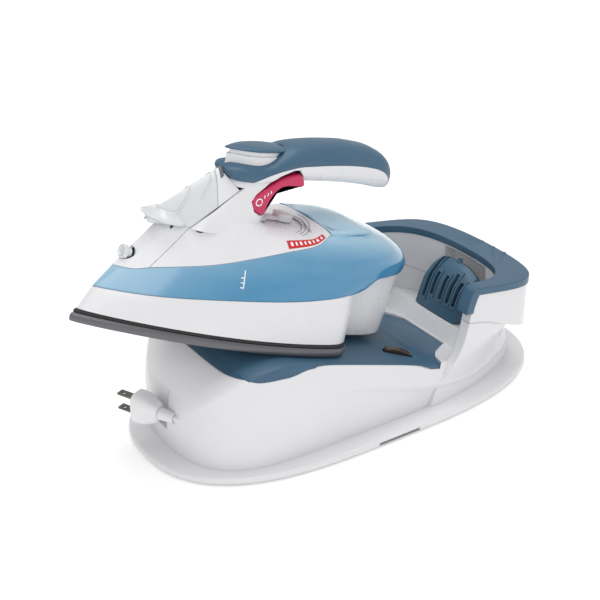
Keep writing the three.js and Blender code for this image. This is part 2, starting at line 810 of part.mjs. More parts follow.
// Outlines of the raised body by height: rear end, half width, rear power.
const RAISED = [
  [FLANGE_LOW, 168, 77.5, 2.1],
  [6, 168, 77.5, 2.1],
  [14, 163, 76.5, 2.1],
  [30, 154, 75.6, 2.6],
  [46, 153, 75, 4.5],
  [60, 156, 75, 8],
  [WALL_TOP, 158, 75, 12],
];

function raisedAt(z) {
  const [rear, half, rearPower] = follow(RAISED, z);
  return { front: ISLAND_FRONT, rear, half, frontPower: 6.5, rearPower };
}

// Height of the tray's plane and of the rounded front of the raised body.
function trayPlane(x) {
  return TRAY_REAR_Z + (TRAY_REAR_X - x) * Math.tan(PITCH);
}

// The front of the tray and of the raised body rolls over from the plane, on one large radius.
const FRONT_ROUND = 58;
const FRONT_FROM = -90;
const FRONT_CENTRE = [
  FRONT_FROM - FRONT_ROUND * Math.sin(PITCH),
  trayPlane(FRONT_FROM) - FRONT_ROUND * Math.cos(PITCH),
];

function trayTop(x, inset = 0) {
  if (x < FRONT_FROM) {
    const reach = Math.max((FRONT_ROUND - inset) ** 2 - (x - FRONT_CENTRE[0]) ** 2, 0);
    return FRONT_CENTRE[1] + Math.sqrt(reach);
  }
  return trayPlane(Math.min(x, TRAY_REAR_X)) - inset;
}

function islandTop(x, inset = 0) {
  const lip = 2.2; // the white rim stands a little above the tray
  return trayTop(x, inset) + lip - 2 * Math.min(1, Math.max(0, -(x + 60) / 40));
}

// One cross section: wall, fold line, sloping band, rounded rim.
function islandRing(x, inset = 0) {
  const top = islandTop(x, inset);
  const low = inset ? -4 : FLANGE_LOW + 1;
  const shape = { front: ISLAND_FRONT, rear: 166, half: 76.5, frontPower: 6.5, rearPower: 2.1 };
  const half = Math.max(superHalf(x, shape) - inset, 1);
  const band = Math.min(20, (top - low) * 0.55);
  const lean = Math.min(1, half / 20);
  const near = [
    [x, -half + 2 * lean, low],
    [x, -half, top - band],
    [x, -half + 3.6 * lean, top - band * 0.22],
    [x, -half + 4.7 * lean, top - band * 0.08],
    [x, -half + 7 * lean, top],
  ];
  return [...near, ...near.map(([a, y, z]) => [a, -y, z]).reverse()];
}

const islandStations = [
  -167.6, -166.8, -165, -161, -155, -147, -138, -128, -118, -104, -90, -60, 0, 60, 88,
];
const islandOuter = lofted([...islandStations, 110, 135, 150, 160].map((x) => islandRing(x)));
const islandInner = lofted(
  [-164.6, -164, ...islandStations.slice(3), 110, 135, 150, 156].map((x) => islandRing(x, 3)),
);

// The rear block with its horseshoe wall, cut to the sweep of its front ends.
const wallHeights = [FLANGE_LOW + 1, 6, 14, 22, 30, 38, 46, 60, 80, WALL_TOP];

function raisedStack(heights, inset = 0) {
  return lofted(heights.map((z) => superOutline(raisedAt(z), inset).map(([x, y]) => [x, y, z])));
}

const SWEEP = [
  [30, -5],
  [42, 22],
  [52, 30],
  [60, 40],
  [66, 52],
  [70, 66],
  [72.5, 78],
  [78.5, 104],
];
const wallSide = across([...SWEEP, [200, 104], [200, -5]], 100);
const wallSideInner = across(
  [...SWEEP.map(([x, z]) => [x + 3, z - (z < 45 ? 3 : 0)]), [200, 104], [200, -9]],
  100,
);
const wallOuter = raisedStack(wallHeights).intersect(wallSide);
const wallInner = raisedStack([-4, ...wallHeights.slice(1, -1), 104], 3).intersect(wallSideInner);

// The slate cap on the wall slopes down to the rear.
const CAP_THICK = 6.4;
function capLow(x) {
  return 95.6 - 0.16 * (x - 80);
}

// The bay between the arms: its floor follows the tray, then steps up to the connector's shelf.
const SHELF_FOOT = [TRAY_REAR_X + 1, TRAY_REAR_Z - 0.5];
const SHELF_EDGE = [97, 40.3];
const SHELF_REAR_X = 160;
const COWL_HALF = 25;
const SHUTTER_TRAVEL = 8;
const BAY = { front: -60, half: 65.5, frontPower: 8, rearPower: 6 };

function bayStack(grow) {
  const rings = [20, 40, 60, 80, 110].map((z) => {
    const outline = superOutline({ ...BAY, rear: 138 - z * 0.07 }, -grow);
    return outline.map(([x, y]) => [x, y, z]);
  });
  const floor = [
    [-80, trayPlane(-80) + 2.2 - grow],
    [TRAY_REAR_X - 6, trayPlane(TRAY_REAR_X - 6) + 2.2 - grow],
    [SHELF_FOOT[0], SHELF_FOOT[1] + 1.4 - grow],
    [SHELF_EDGE[0], SHELF_EDGE[1] - grow],
    [SHELF_REAR_X, SHELF_EDGE[1] - (SHELF_REAR_X - SHELF_EDGE[0]) * Math.tan(PITCH) - grow],
  ];
  const garage = box([40, 2 * (COWL_HALF + 1.5 + grow), 90], [120 + grow, 0, 45]);
  const garageTop = [[80, -20], [180, -20], [180, capLow(180) - 1.6 + grow], [80, capLow(80) - 1.6 + grow]];
  return lofted(rings)
    .add(garage.intersect(across(garageTop, 60)))
    .intersect(across([...floor, [SHELF_REAR_X, 130], [-80, 130]], 90));
}

// The pocket in the front wall that the plug is stowed in.
const PLUG_AT = [-178, 10, 37];
const PLUG_TURN = 0.42; // the plug's axis turns from +Y towards -X
const plugTurn = [0, 0, Math.PI / 2 + PLUG_TURN];
const pocket = box([58, 26, 36], [PLUG_AT[0], PLUG_AT[1] - 4, PLUG_AT[2]], plugTurn);
const pocketGrown = box([64, 32, 42], [PLUG_AT[0], PLUG_AT[1] - 4, PLUG_AT[2]], plugTurn);
const flange = lofted(
  [
    [FLANGE_LOW, 1],
    [FLANGE_LOW + 1, 0],
    [FLANGE_TOP - 1.6, 0],
    [FLANGE_TOP, 1.8],
  ].map(([z, inset]) => superOutline(FLANGE, inset).map(([x, y]) => [x, y, z])),
);
const flangeInner = slab(superOutline(raisedAt(6), 3), -1, 4).add(
  slab(superOutline(FLANGE, 3), -1, FLANGE_TOP - 2.4),
);
const SEAM_LINE = [
  [60, 75],
  [90, 68],
  [150, 43],
  [220, 15],
];
const seamAbove = (drop) =>
  across([...SEAM_LINE.map(([x, z]) => [x, z - drop]), [220, 200], [60, 200]], 120);
const seamSide = seamAbove(0);
const seamSideLow = seamAbove(GAP);
const shell = islandOuter.add(wallOuter.subtract(seamSideLow)).subtract(bayStack(0)).subtract(pocket);
const hollow = islandInner.add(wallInner).add(flangeInner).subtract(bayStack(3)).subtract(pocketGrown);
let housing = flange.add(shell).subtract(hollow);

// Tray panel: wide over the front, a tongue to the shelf at the rear.
const TRAY_NEAR = [
  [-138.5, -10],
  [-138, -32],
  [-135.5, -50],
  [-130, -60],
  [-121, -66.5],
  [-104, -69.6],
  [-60, -69.8],
  [46, -69.5],
  [51, -66],
  [54, -55],
  [62, -46],
  [87.6, -27],
];
const trayOutline = [...TRAY_NEAR, ...TRAY_NEAR.map(([x, y]) => [x, -y]).reverse()];

function trayLayer(outline, low, high) {
  const flat = slab(outline.map(([x, y]) => [x, y]), -300, 300);
  const xs = [-150, -144, -138, -132, -126, -118, -108, -98, FRONT_FROM, 0, TRAY_REAR_X, 100];
  const line = (lift) => xs.map((x) => [x, (x > TRAY_REAR_X ? trayPlane(x) : trayTop(x)) + lift]);
  return flat.intersect(across([...line(low), ...line(high).reverse()], 90));
}

function grown(outline, by) {
  return outline.map(([x, y]) => [x + (x < -120 ? -by : x > 60 ? by : 0), y + Math.sign(y) * by]);
}

let tray = trayLayer(trayOutline, -2, 0);
housing = housing.subtract(trayLayer(grown(trayOutline, GAP), -2.3, 20));

// The iron sensor: a dome in a slot of the tray.
const DOME_AT = [22, -46];
const domeSlot = box([26, 7, 20], [DOME_AT[0], DOME_AT[1], trayPlane(DOME_AT[0])], [0, PITCH, -0.45]);
tray = tray.subtract(domeSlot);
housing = housing.subtract(domeSlot);
add(base, "tray", tray, SLATE);
const domePoints = [];
for (let i = 0; i <= 10; i++) {
  const turn = (Math.PI * i) / 10;
  domePoints.push([11.6 * Math.cos(turn), 0.9 + 2.4 * Math.sin(turn) - 2.6]);
}
let dome = across([...domePoints, [-11.6, -4.6], [11.6, -4.6]], 2.9);
dome = dome.add(rod(2, 14, [0, 0, -10], [0, 0, 0], 12));
dome = solidOf(
  placed(geometryOf(dome), [DOME_AT[0], DOME_AT[1], trayPlane(DOME_AT[0])], [0, PITCH, -0.45]),
);
add(base, "sensor_plunger", dome, BRONZE);

// ---- connector cowl: a sprung cover with slots, over the two fixed contact blades
const cowl = new THREE.Group();
cowl.position.set(97, 0, 40.8);
cowl.rotation.y = PITCH;
base.add(cowl);
// Cowl profile in its own frame: x back along the slope, z square to it.
const COWL = [
  [0, 0.6],
  [0.6, 26],
  [3.6, 36],
  [7.4, 43],
  [12, 48],
  [16, 47],
  [16, 0.6],
];
function cowlRing(y, inset) {
  const fall = 1 - Math.abs(y / 27) ** 2.6 * 0.16;
  return COWL.map(([x, z]) => [
    x + inset + Math.abs(y / 27) ** 2 * 1.2,
    y,
    z > 20 ? z * fall - inset : z,
  ]);
}
const cowlStations = [-25, -22, -17, -11, -5, 0, 5, 11, 17, 22, 25];
let cover = lofted(cowlStations.map((y) => cowlRing(y, 0)));
cover = cover.subtract(
  lofted(
    [-23, -17, -11, -5, 0, 5, 11, 17, 23].map((y) =>
      cowlRing(y, 2).map(([x, a, z]) => [x > 17 ? x + 20 : x, a, z < 20 ? z - 20 : z]),
    ),
  ),
);
const SLOTS = [
  [17, 28, 19],
  [8.5, 24.5, 10.5],
  [-2.6, 24.5, 11],
  [-11.6, 27, 13.5],
  [-19.4, 24.5, 11],
];
for (const [y, z, reach] of SLOTS) {
  cover = cover.subtract(box([30, 3.8, 2 * reach], [0, y, z], [0, 0.05, 0]));
}
cover = cover.add(rod(2.8, 5.4, [13, 0, 48.2], [0, 0, 0], 14));
add(cowl, "connector_shutter", cover, SLATE);
let contactBlock = box([7, 38, 30], [17.8, 2, 15.7]);
for (const [name, y] of [["contact_blade_l", 8.5], ["contact_blade_n", -3]]) {
  contactBlock = contactBlock.subtract(box([20, 1.8, 12.6], [12, y, 24.5]));
  add(cowl, name, box([15, 1.2, 12], [12, y, 24.5]), BRASS);
}
add(cowl, "contact_block", contactBlock, BLACK);

// ---- white horseshoe wall and its slate trim
const panelOutline = raisedAt(WALL_TOP);
let wall = slab(superOutline(panelOutline), 16, WALL_TOP).intersect(wallSide);
wall = wall.subtract(bayStack(0));
wall = wall.intersect(seamSide);
const wallVoid = slab(superOutline(panelOutline, WALL), 10, 112)
  .intersect(across([...SWEEP.map(([x, z]) => [x + 3, z]), [200, 112], [200, -5]], 100))
  .subtract(bayStack(WALL))
  .intersect(seamAbove(-WALL));
wall = wall.subtract(wallVoid);
const trimSide = across(
  [
    [67, 81.5],
    [74.2, 80.8],
    [79.5, capLow(79.5) + GAP],
    [200, capLow(200) + GAP],
    [200, capLow(200) + CAP_THICK],
    [78, capLow(78) + CAP_THICK],
    [74, capLow(78) + CAP_THICK - 1.6],
    [68.4, 88],
  ],
  100,
);
const trimSideGrown = across(
  [[60, 81], [74.4, 80.5], [79.8, capLow(79.8)], [200, capLow(200)], [200, 115], [60, 115]],
  100,
);
wall = wall.subtract(trimSideGrown);
add(base, "rear_wall", wall, WHITE);
let trim = lofted(
  [70, 90, 106].map((z) =>
    superOutline(raisedAt(WALL_TOP), -0.9).map(([x, y]) => [x, y, z]),
  ),
);
trim = trim.subtract(bayStack(-0.6)).intersect(trimSide);
for (const y of [-19, -5, 9]) {
  trim = trim.add(rod(2.2, 4.5, [157.4, y, capLow(157.4) + 4.4], [0, 0, 0], 12));
}
add(base, "rim_trim", trim, SLATE);
// Screw bosses inside the side walls.
const SCREWS = [
  [-120, 64.5],
  [-120, -64.5],
  [130, 44],
  [130, -44],
];
for (const [x, y] of SCREWS) {
  housing = housing.add(rod(4.6, 16, [x, y, 12], [0, 0, 0], 10));
  housing = housing.subtract(rod(1.9, 15, [x, y, 10.5], [0, 0, 0], 10));
}

// ---- plug, stowed in its pocket with its blades to the front
const plug = new THREE.Group();
plug.position.set(...PLUG_AT);
plug.rotation.set(...plugTurn);
base.add(plug);
const plugRings = [
  [-14, 6, 5],
  [-10, 9, 7],
  [0, 12.4, 9],
  [7, 12.8, 9.4],
  [8, 12.2, 8.8],
];
const plugBody = lofted(
  plugRings.map(([x, high, deep]) => {
    const ring = [];
    for (let i = 0; i < 16; i++) {
      const turn = (2 * Math.PI * i) / 16;
      const c = Math.cos(turn);
      const s = Math.sin(turn);
      ring.push([
        x,
        deep * Math.sign(c) * Math.abs(c) ** 0.6,
        high * Math.sign(s) * Math.abs(s) ** 0.6,
      ]);
    }
    return ring;
  }),
);
add(plug, "plug_body", plugBody, RUBBER);
for (const [name, z] of [["plug_blade_a", 6.35], ["plug_blade_b", -6.35]]) {
  const blade = box([16.5, 6.3, 1.5], [8 + GAP + 8.25, 0, z]).subtract(
    rod(1.6, 6, [20.5, 0, z], [0, 0, 0], 12),
  );
  add(plug, name, blade, BRASS);
}

// The strain relief behind the plug.
const sleeve = lathed(
  [[3.2, -14 - GAP], [5, -14 - GAP], [4.2, -28], [3.2, -28], [3.2, -14 - GAP]],
  [0, 0, 0],
  [0, Math.PI / 2, 0],
  14,
);
add(plug, "plug_strain_relief", sleeve, RUBBER);

// ---- cord: out of the hub, over two turns round it, then forward to the plug
const CORD_RADIUS = 2.7;
const HUB_HALF = 32;
const HUB_REACH = 66;
const CORD_Z = 6.6;
const TURN_PITCH = 8.6;
const cordPath = [
  [HUB_REACH - 2, 8, CORD_Z + 1],
  [HUB_REACH + 14, 15, CORD_Z + 0.4],
  [HUB_REACH + 19, 27, CORD_Z],
  [HUB_REACH + 12, 35.6, CORD_Z],
];
function racetrack(turn) {
  // turn counts laps from the far side's rear end, running forward first
  const radius = HUB_HALF + 5.5 + TURN_PITCH * turn;
  const lap = (turn % 1) * 4;
  if (lap < 1) {
    return [HUB_REACH - 2 * HUB_REACH * lap, radius, CORD_Z];
  }
  if (lap < 2) {
    const angle = Math.PI / 2 + Math.PI * (lap - 1);
    return [-HUB_REACH + radius * Math.cos(angle), radius * Math.sin(angle), CORD_Z];
  }
  if (lap < 3) {
    return [-HUB_REACH + 2 * HUB_REACH * (lap - 2), -radius, CORD_Z];
  }
  const angle = -Math.PI / 2 + Math.PI * (lap - 3);
  return [HUB_REACH + radius * Math.cos(angle), radius * Math.sin(angle), CORD_Z];
}
for (let turn = 0; turn < 2.36; turn += 1 / 24) {
  cordPath.push(racetrack(turn));
}
const plugAxis = [-Math.sin(PLUG_TURN), Math.cos(PLUG_TURN)];
function behindPlug(reach, z = PLUG_AT[2]) {
  return [PLUG_AT[0] - plugAxis[0] * reach, PLUG_AT[1] - plugAxis[1] * reach, z];
}
cordPath.push([-142, -22, CORD_Z + 1.6], [-150, -34, 14], [-156, -36, 26]);
cordPath.push(behindPlug(38, 36), behindPlug(30), behindPlug(22), behindPlug(14 + GAP));
const CORD_STEPS = 78;
add(base, "cord", tube(cordPath, CORD_RADIUS, CORD_STEPS), RUBBER);
const cordRoom = tube(cordPath, CORD_RADIUS + 0.5, CORD_STEPS);
housing = housing.subtract(cordRoom);
// The cord's way out through the flange on the near side.
housing = housing.subtract(box([40, 30, 2.6], [-9, -92, 3.2], [0, 0, 0]));
add(base, "base_housing", housing, WHITE);

// ---- bottom cover with the pan that the cord is wound in
const PAN = { front: -142, rear: 142, half: 64, frontPower: 3, rearPower: 3 };
const HUB = { front: -108, rear: 108, half: HUB_HALF, frontPower: 2.6, rearPower: 2.6 };
const COVER_TOP = 3.4;
const PAN_ROOF = 13;
let bottomCover = slab(superOutline(FLANGE, 3.4), FLANGE_LOW, COVER_TOP)
  .subtract(slab(superOutline(PAN, 0), 0, 9))
  .add(slab(superOutline(PAN, -0.01), FLANGE_LOW, PAN_ROOF))
  .subtract(slab(superOutline(PAN, 2), -2, PAN_ROOF - 2))
  .add(slab(superOutline(HUB, 0), FLANGE_LOW, PAN_ROOF - 1))
  .subtract(slab(superOutline(HUB, 2), FLANGE_LOW + 2, PAN_ROOF + 2));
const BOARD_AT = [0, 0];
const BOARD_Z = 13;
for (const x of [-28, 28]) {
  for (const y of [-18, 18]) {
    bottomCover = bottomCover.add(
      rod(3, BOARD_Z - 3, [BOARD_AT[0] + x, BOARD_AT[1] + y, (BOARD_Z + 3) / 2], [0, 0, 0], 8),
    );
  }
}
bottomCover = bottomCover.subtract(cordRoom);
for (const [x, y] of SCREWS) {
  bottomCover = bottomCover.subtract(rod(4, 2, [x, y, 1.4], [0, 0, 0], 12)).subtract(rod(2.1, 8, [x, y, 4]));
}
add(base, "bottom_cover", bottomCover, BLACK);
SCREWS.forEach(([x, y], i) => {
  const screw = rod(3.4, 0.9, [x, y, 1.75], [0, 0, 0], 12).add(rod(1.6, 12, [x, y, 8], [0, 0, 0], 8));
  add(base, `cover_screw_${i + 1}`, screw, STEEL);
});
[[-150, 52], [-150, -52], [140, 54], [140, -54]].forEach(([x, y], i) => {
  const foot = rod(8, FLANGE_LOW - GAP, [x, y, (FLANGE_LOW - GAP) / 2], [0, 0, 0], 20);
  add(base, `foot_${i + 1}`, foot, RUBBER);
});

// ---- base electrics
const board = box([70, 46, 1.6], [BOARD_AT[0], BOARD_AT[1], BOARD_Z + GAP + 0.8]);
add(base, "control_board", board, BOARD);
const stem = [DOME_AT[0] - 17 * Math.sin(PITCH), DOME_AT[1]];
const switchBox = box([18, 7, 13], [stem[0], stem[1], PAN_ROOF + GAP + 6.5]);
add(base, "sensor_switch", switchBox, BLACK);

// Centred over the origin, standing on z = 0.
const bounds = new THREE.Box3().setFromObject(part, true);
part.position.x -= (bounds.min.x + bounds.max.x) / 2;
part.position.y -= (bounds.min.y + bounds.max.y) / 2;
part.position.z -= bounds.min.z;

export default part;
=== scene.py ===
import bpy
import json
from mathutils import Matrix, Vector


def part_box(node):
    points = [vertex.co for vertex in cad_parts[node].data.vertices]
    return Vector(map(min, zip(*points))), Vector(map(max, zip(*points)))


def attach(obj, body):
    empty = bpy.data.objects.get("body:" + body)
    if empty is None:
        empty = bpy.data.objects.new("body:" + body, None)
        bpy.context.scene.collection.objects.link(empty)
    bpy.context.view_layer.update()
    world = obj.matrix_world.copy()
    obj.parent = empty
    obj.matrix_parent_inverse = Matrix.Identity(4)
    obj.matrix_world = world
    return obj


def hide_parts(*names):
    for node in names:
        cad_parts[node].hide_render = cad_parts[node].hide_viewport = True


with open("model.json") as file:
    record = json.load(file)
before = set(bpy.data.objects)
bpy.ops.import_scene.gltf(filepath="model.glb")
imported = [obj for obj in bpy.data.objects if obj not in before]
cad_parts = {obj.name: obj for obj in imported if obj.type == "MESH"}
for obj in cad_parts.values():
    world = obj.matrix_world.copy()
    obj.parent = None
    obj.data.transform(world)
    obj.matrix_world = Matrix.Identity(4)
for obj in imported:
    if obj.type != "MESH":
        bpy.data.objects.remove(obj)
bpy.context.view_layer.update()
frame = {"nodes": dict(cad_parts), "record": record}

import json
import math

import bmesh
import bpy
from mathutils import Euler, Matrix, Vector

# ------------------------------------------------------------------ the frame, millimetres
MM = 0.001
GAP = 0.3
PITCH = math.radians(18.7)
BASE_FRONT = -187.0
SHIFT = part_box("base_housing")[0][0] / MM - BASE_FRONT
BASE = Matrix.Translation((SHIFT, 0, 0))
IRON = BASE @ Matrix.Translation((-238, 0, 136.2)) @ Matrix.Rotation(PITCH, 4, "Y")
COWL_FRAME = BASE @ Matrix.Translation((97, 0, 40.8)) @ Matrix.Rotation(PITCH, 4, "Y")
PLUG_AT = (-178, 10, 37)
PLUG_TURN = 0.42
PLUG_FRAME = BASE @ Matrix.Translation(PLUG_AT) @ Matrix.Rotation(math.pi / 2 + PLUG_TURN, 4, "Z")

# ------------------------------------------------------------------ camera
SENSOR_WIDTH = 36
LENS = 76.2144
CAMERA_DISTANCE = 1006.7
CAMERA_AZIMUTH = math.radians(-34.17)
CAMERA_HEIGHT = math.radians(27.95)
TARGET = Vector((-41.8 + SHIFT, 0, 94.4))


def place_camera():
    data = bpy.data.cameras.new("camera")
    data.sensor_width = SENSOR_WIDTH
    data.lens = LENS
    data.clip_start = 0.01
    camera = bpy.data.objects.new("camera", data)
    bpy.context.scene.collection.objects.link(camera)
    flat = math.cos(CAMERA_HEIGHT)
    back = Vector((
        math.sin(CAMERA_AZIMUTH) * flat,
        -math.cos(CAMERA_AZIMUTH) * flat,
        math.sin(CAMERA_HEIGHT),
    ))
    camera.location = (TARGET + back * CAMERA_DISTANCE) * MM
    camera.rotation_euler = (-back).to_track_quat("-Z", "Y").to_euler()
    bpy.context.scene.camera = camera


# ------------------------------------------------------------------ curves and tables
def linear(rows, at):
    if at <= rows[0][0]:
        return list(rows[0][1:])
    for before, after in zip(rows, rows[1:]):
        if at <= after[0]:
            t = (at - before[0]) / (after[0] - before[0])
            return [p * (1 - t) + q * t for p, q in zip(before[1:], after[1:])]
    return list(rows[-1][1:])


_slopes = {}


def slopes(rows):
    """Slopes of a monotone cubic through each column of the rows."""
    key = tuple(rows)
    if key in _slopes:
        return _slopes[key]
    result = []
    for col in range(1, len(rows[0])):
        step = [
            (b[col] - a[col]) / (b[0] - a[0]) for a, b in zip(rows, rows[1:])
        ]
        m = [step[0]]
        for left, right in zip(step, step[1:]):
            m.append(0 if left * right <= 0 else 2 * left * right / (left + right))
        m.append(step[-1])
        result.append(m)
    _slopes[key] = result
    return result


def smooth(rows, at):
    """Monotone cubic interpolation through [at, value, ...] rows."""
    if at <= rows[0][0]:
        return list(rows[0][1:])
    if at >= rows[-1][0]:
        return list(rows[-1][1:])
    m = slopes(rows)
    for i in range(len(rows) - 1):
        if at <= rows[i + 1][0]:
            h = rows[i + 1][0] - rows[i][0]
            t = (at - rows[i][0]) / h
            a = 2 * t**3 - 3 * t**2 + 1
            b = t**3 - 2 * t**2 + t
            c = -2 * t**3 + 3 * t**2
            d = t**3 - t**2
            return [
                a * rows[i][k + 1] + b * h * m[k][i] + c * rows[i + 1][k + 1] + d * h * m[k][i + 1]
                for k in range(len(rows[0]) - 1)
            ]
    return list(rows[-1][1:])


def spans(low, high, count):
    return [low + (high - low) * i / (count - 1) for i in range(count)]


def rounded(points, closed=True, steps=8):
    """A denser outline through the points, by Catmull-Rom."""
    out = []
    n = len(points)
    for i in range(n if closed else n - 1):
        around = [i - 1, i, i + 1, i + 2]
        if not closed:
            around = [min(max(k, 0), n - 1) for k in around]
        p = [Vector(points[k % n]) for k in around]
        for j in range(steps):
            t = j / steps
            out.append(tuple(
                0.5 * (2 * p[1] + (p[2] - p[0]) * t + (2 * p[0] - 5 * p[1] + 4 * p[2] - p[3]) * t**2
                       + (3 * p[1] - p[0] - 3 * p[2] + p[3]) * t**3)
            ))
    if not closed:
        out.append(tuple(points[-1]))
    return out


def circle(reach, half, count=48, curve=1.0):
    """Points round an ellipse, which squares off as curve falls below 1."""
    points = []
    for angle in spans(0, 2 * math.pi, count + 1)[:-1]:
        c, s = math.cos(angle), math.sin(angle)
        points.append((reach * math.copysign(abs(c) ** curve, c), half * math.copysign(abs(s) ** curve, s)))
    return points


def ring_at(outline, z):
    return [(x, y, z) for x, y in outline]


# ------------------------------------------------------------------ solids
scene = bpy.context.scene


def solid(verts, faces):
    mesh = bpy.data.meshes.new("solid")
    mesh.from_pydata([tuple(v) for v in verts], [], faces)
    bm = bmesh.new()
    bm.from_mesh(mesh)
    bmesh.ops.remove_doubles(bm, verts=bm.verts, dist=1e-4)
    bmesh.ops.recalc_face_normals(bm, faces=bm.faces)
    bm.to_mesh(mesh)
    bm.free()
    obj = bpy.data.objects.new("solid", mesh)
    scene.collection.objects.link(obj)
    return obj


def turned(obj, at=(0, 0, 0), turn=(0, 0, 0)):
    obj.data.transform(Matrix.Translation(at) @ Euler(turn, "XYZ").to_matrix().to_4x4())
    return obj


def lofted(rings):
    count = len(rings[0])
    verts = [p for ring in rings for p in ring]
    faces = []
    for i in range(len(rings) - 1):
        for j in range(count):
            a = i * count + j
            b = i * count + (j + 1) % count
            faces.append((a, b, b + count, a + count))
    for first in (0, (len(rings) - 1) * count):
        ring = verts[first:first + count]
        verts.append(tuple(sum(p[k] for p in ring) / count for k in range(3)))
        centre = len(verts) - 1
        for j in range(count):
            faces.append((centre, first + j, first + (j + 1) % count))
    return solid(verts, faces)


def flat_solid(outline, place):
    """A closed prism of a polygon, capped by one face, from place(point, side)."""
    n = len(outline)
    verts = [place(p, 0) for p in outline] + [place(p, 1) for p in outline]
    faces = [(i, (i + 1) % n, (i + 1) % n + n, i + n) for i in range(n)]
    faces += [tuple(range(n)), tuple(range(n, 2 * n))]
    return solid(verts, faces)


def across(outline, half, centre=0.0):
    return flat_solid(outline, lambda p, side: (p[0], centre + (half if side else -half), p[1]))


def prism(outline, low, high):
    return flat_solid(outline, lambda p, side: (p[0], p[1], high if side else low))


def box(size, at, turn=(0, 0, 0)):
    x, y, z = (s / 2 for s in size)
    made = prism([(-x, -y), (x, -y), (x, y), (-x, y)], -z, z)
    return turned(made, at, turn)


def rod(radius, height, at, turn=(0, 0, 0), sides=48, top=None):
    top = radius if top is None else top
    ends = ((radius, -height / 2), (top, height / 2))
    return turned(lofted([ring_at(circle(r, r, sides), z) for r, z in ends]), at, turn)


def lathed(profile, at=(0, 0, 0), turn=(0, 0, 0), sides=64):
    """A closed profile of (radius, z) turned about z."""
    n = len(profile)
    verts = []
    faces = []
    for i, (c, s) in enumerate(circle(1, 1, sides)):
        verts += [(r * c, r * s, z) for r, z in profile]
        for j in range(n):
            here, after = i * n, (i + 1) % sides * n
            k = (j + 1) % n
            faces.append((here + j, here + k, after + k, after + j))
    return turned(solid(verts, faces), at, turn)


def combined(a, b, how, keep=False):
    mod = a.modifiers.new("join", "BOOLEAN")
    mod.operation = how
    mod.solver = "MANIFOLD"
    mod.object = b
    graph = bpy.context.evaluated_depsgraph_get()
    mesh = bpy.data.meshes.new_from_object(a.evaluated_get(graph))
    a.modifiers.clear()
    old = a.data
    a.data = mesh
    bpy.data.meshes.remove(old)
    if not keep:
        bpy.data.objects.remove(b)
    return a


def cut(a, b, keep=False):
    return combined(a, b, "DIFFERENCE", keep)


def join(a, b, keep=False):
    return combined(a, b, "UNION", keep)


def meet(a, b, keep=False):
    return combined(a, b, "INTERSECT", keep)


def copied(a):
    b = a.copy()
    b.data = a.data.copy()
    scene.collection.objects.link(b)
    return b


# ------------------------------------------------------------------ materials
def link(tree, a, b):
    tree.links.new(a, b)


def material(name, color, rough, *, metallic=0.0, coat=0.0, transmission=0.0, ior=1.46, vary=0.03,
             rough_vary=0.03, grain=0.0, grain_scale=900.0, wave=0.0, edge=0.0004):
    """Moulded or metal surface: mottled colour, uneven gloss, fine grain and softened edges."""
    mat = bpy.data.materials.new(name)
    mat.use_nodes = True
    tree = mat.node_tree
    nodes = tree.nodes
    shader = nodes["Principled BSDF"]
    shader.inputs["Metallic"].default_value = metallic
    shader.inputs["IOR"].default_value = ior
    shader.inputs["Coat Weight"].default_value = coat
    shader.inputs["Coat Roughness"].default_value = 0.12
    shader.inputs["Transmission Weight"].default_value = transmission
    coords = nodes.new("ShaderNodeTexCoord")

    def noise(scale, detail):
        node = nodes.new("ShaderNodeTexNoise")
        node.inputs["Scale"].default_value = scale
        node.inputs["Detail"].default_value = detail
        link(tree, coords.outputs["Object"], node.inputs["Vector"])
        return node

    def ramp(source, stops):
        node = nodes.new("ShaderNodeValToRGB")
        link(tree, source, node.inputs["Fac"])
        node.color_ramp.elements[0].position = 0.3
        node.color_ramp.elements[1].position = 0.7
        for element, value in zip(node.color_ramp.elements, stops):
            element.color = (*value, 1)
        return node

    cloud = noise(26, 3)
    low = [c * (1 - vary) for c in color]
    high = [min(1, c * (1 + vary)) for c in color]
    link(tree, ramp(cloud.outputs["Fac"], (low, high)).outputs["Color"], shader.inputs["Base Color"])
    smear = noise(60, 4)
    r0, r1 = max(rough - rough_vary, 0.02), min(rough + rough_vary, 1)
    gloss = ramp(smear.outputs["Fac"], ([r0] * 3, [r1] * 3))
    link(tree, gloss.outputs["Color"], shader.inputs["Roughness"])
    bevel = nodes.new("ShaderNodeBevel")
    bevel.samples = 4
    bevel.inputs["Radius"].default_value = edge
    normal = bevel.outputs["Normal"]
    for strength, scale, detail in ((wave, 18, 1), (grain, grain_scale, 2)):
        if strength:
            texture = noise(scale, detail)
            bump = nodes.new("ShaderNodeBump")
            bump.inputs["Strength"].default_value = strength
            bump.inputs["Distance"].default_value = 0.0004
            link(tree, texture.outputs["Fac"], bump.inputs["Height"])
            link(tree, normal, bump.inputs["Normal"])
            normal = bump.outputs["Normal"]
    link(tree, normal, shader.inputs["Normal"])
    return mat


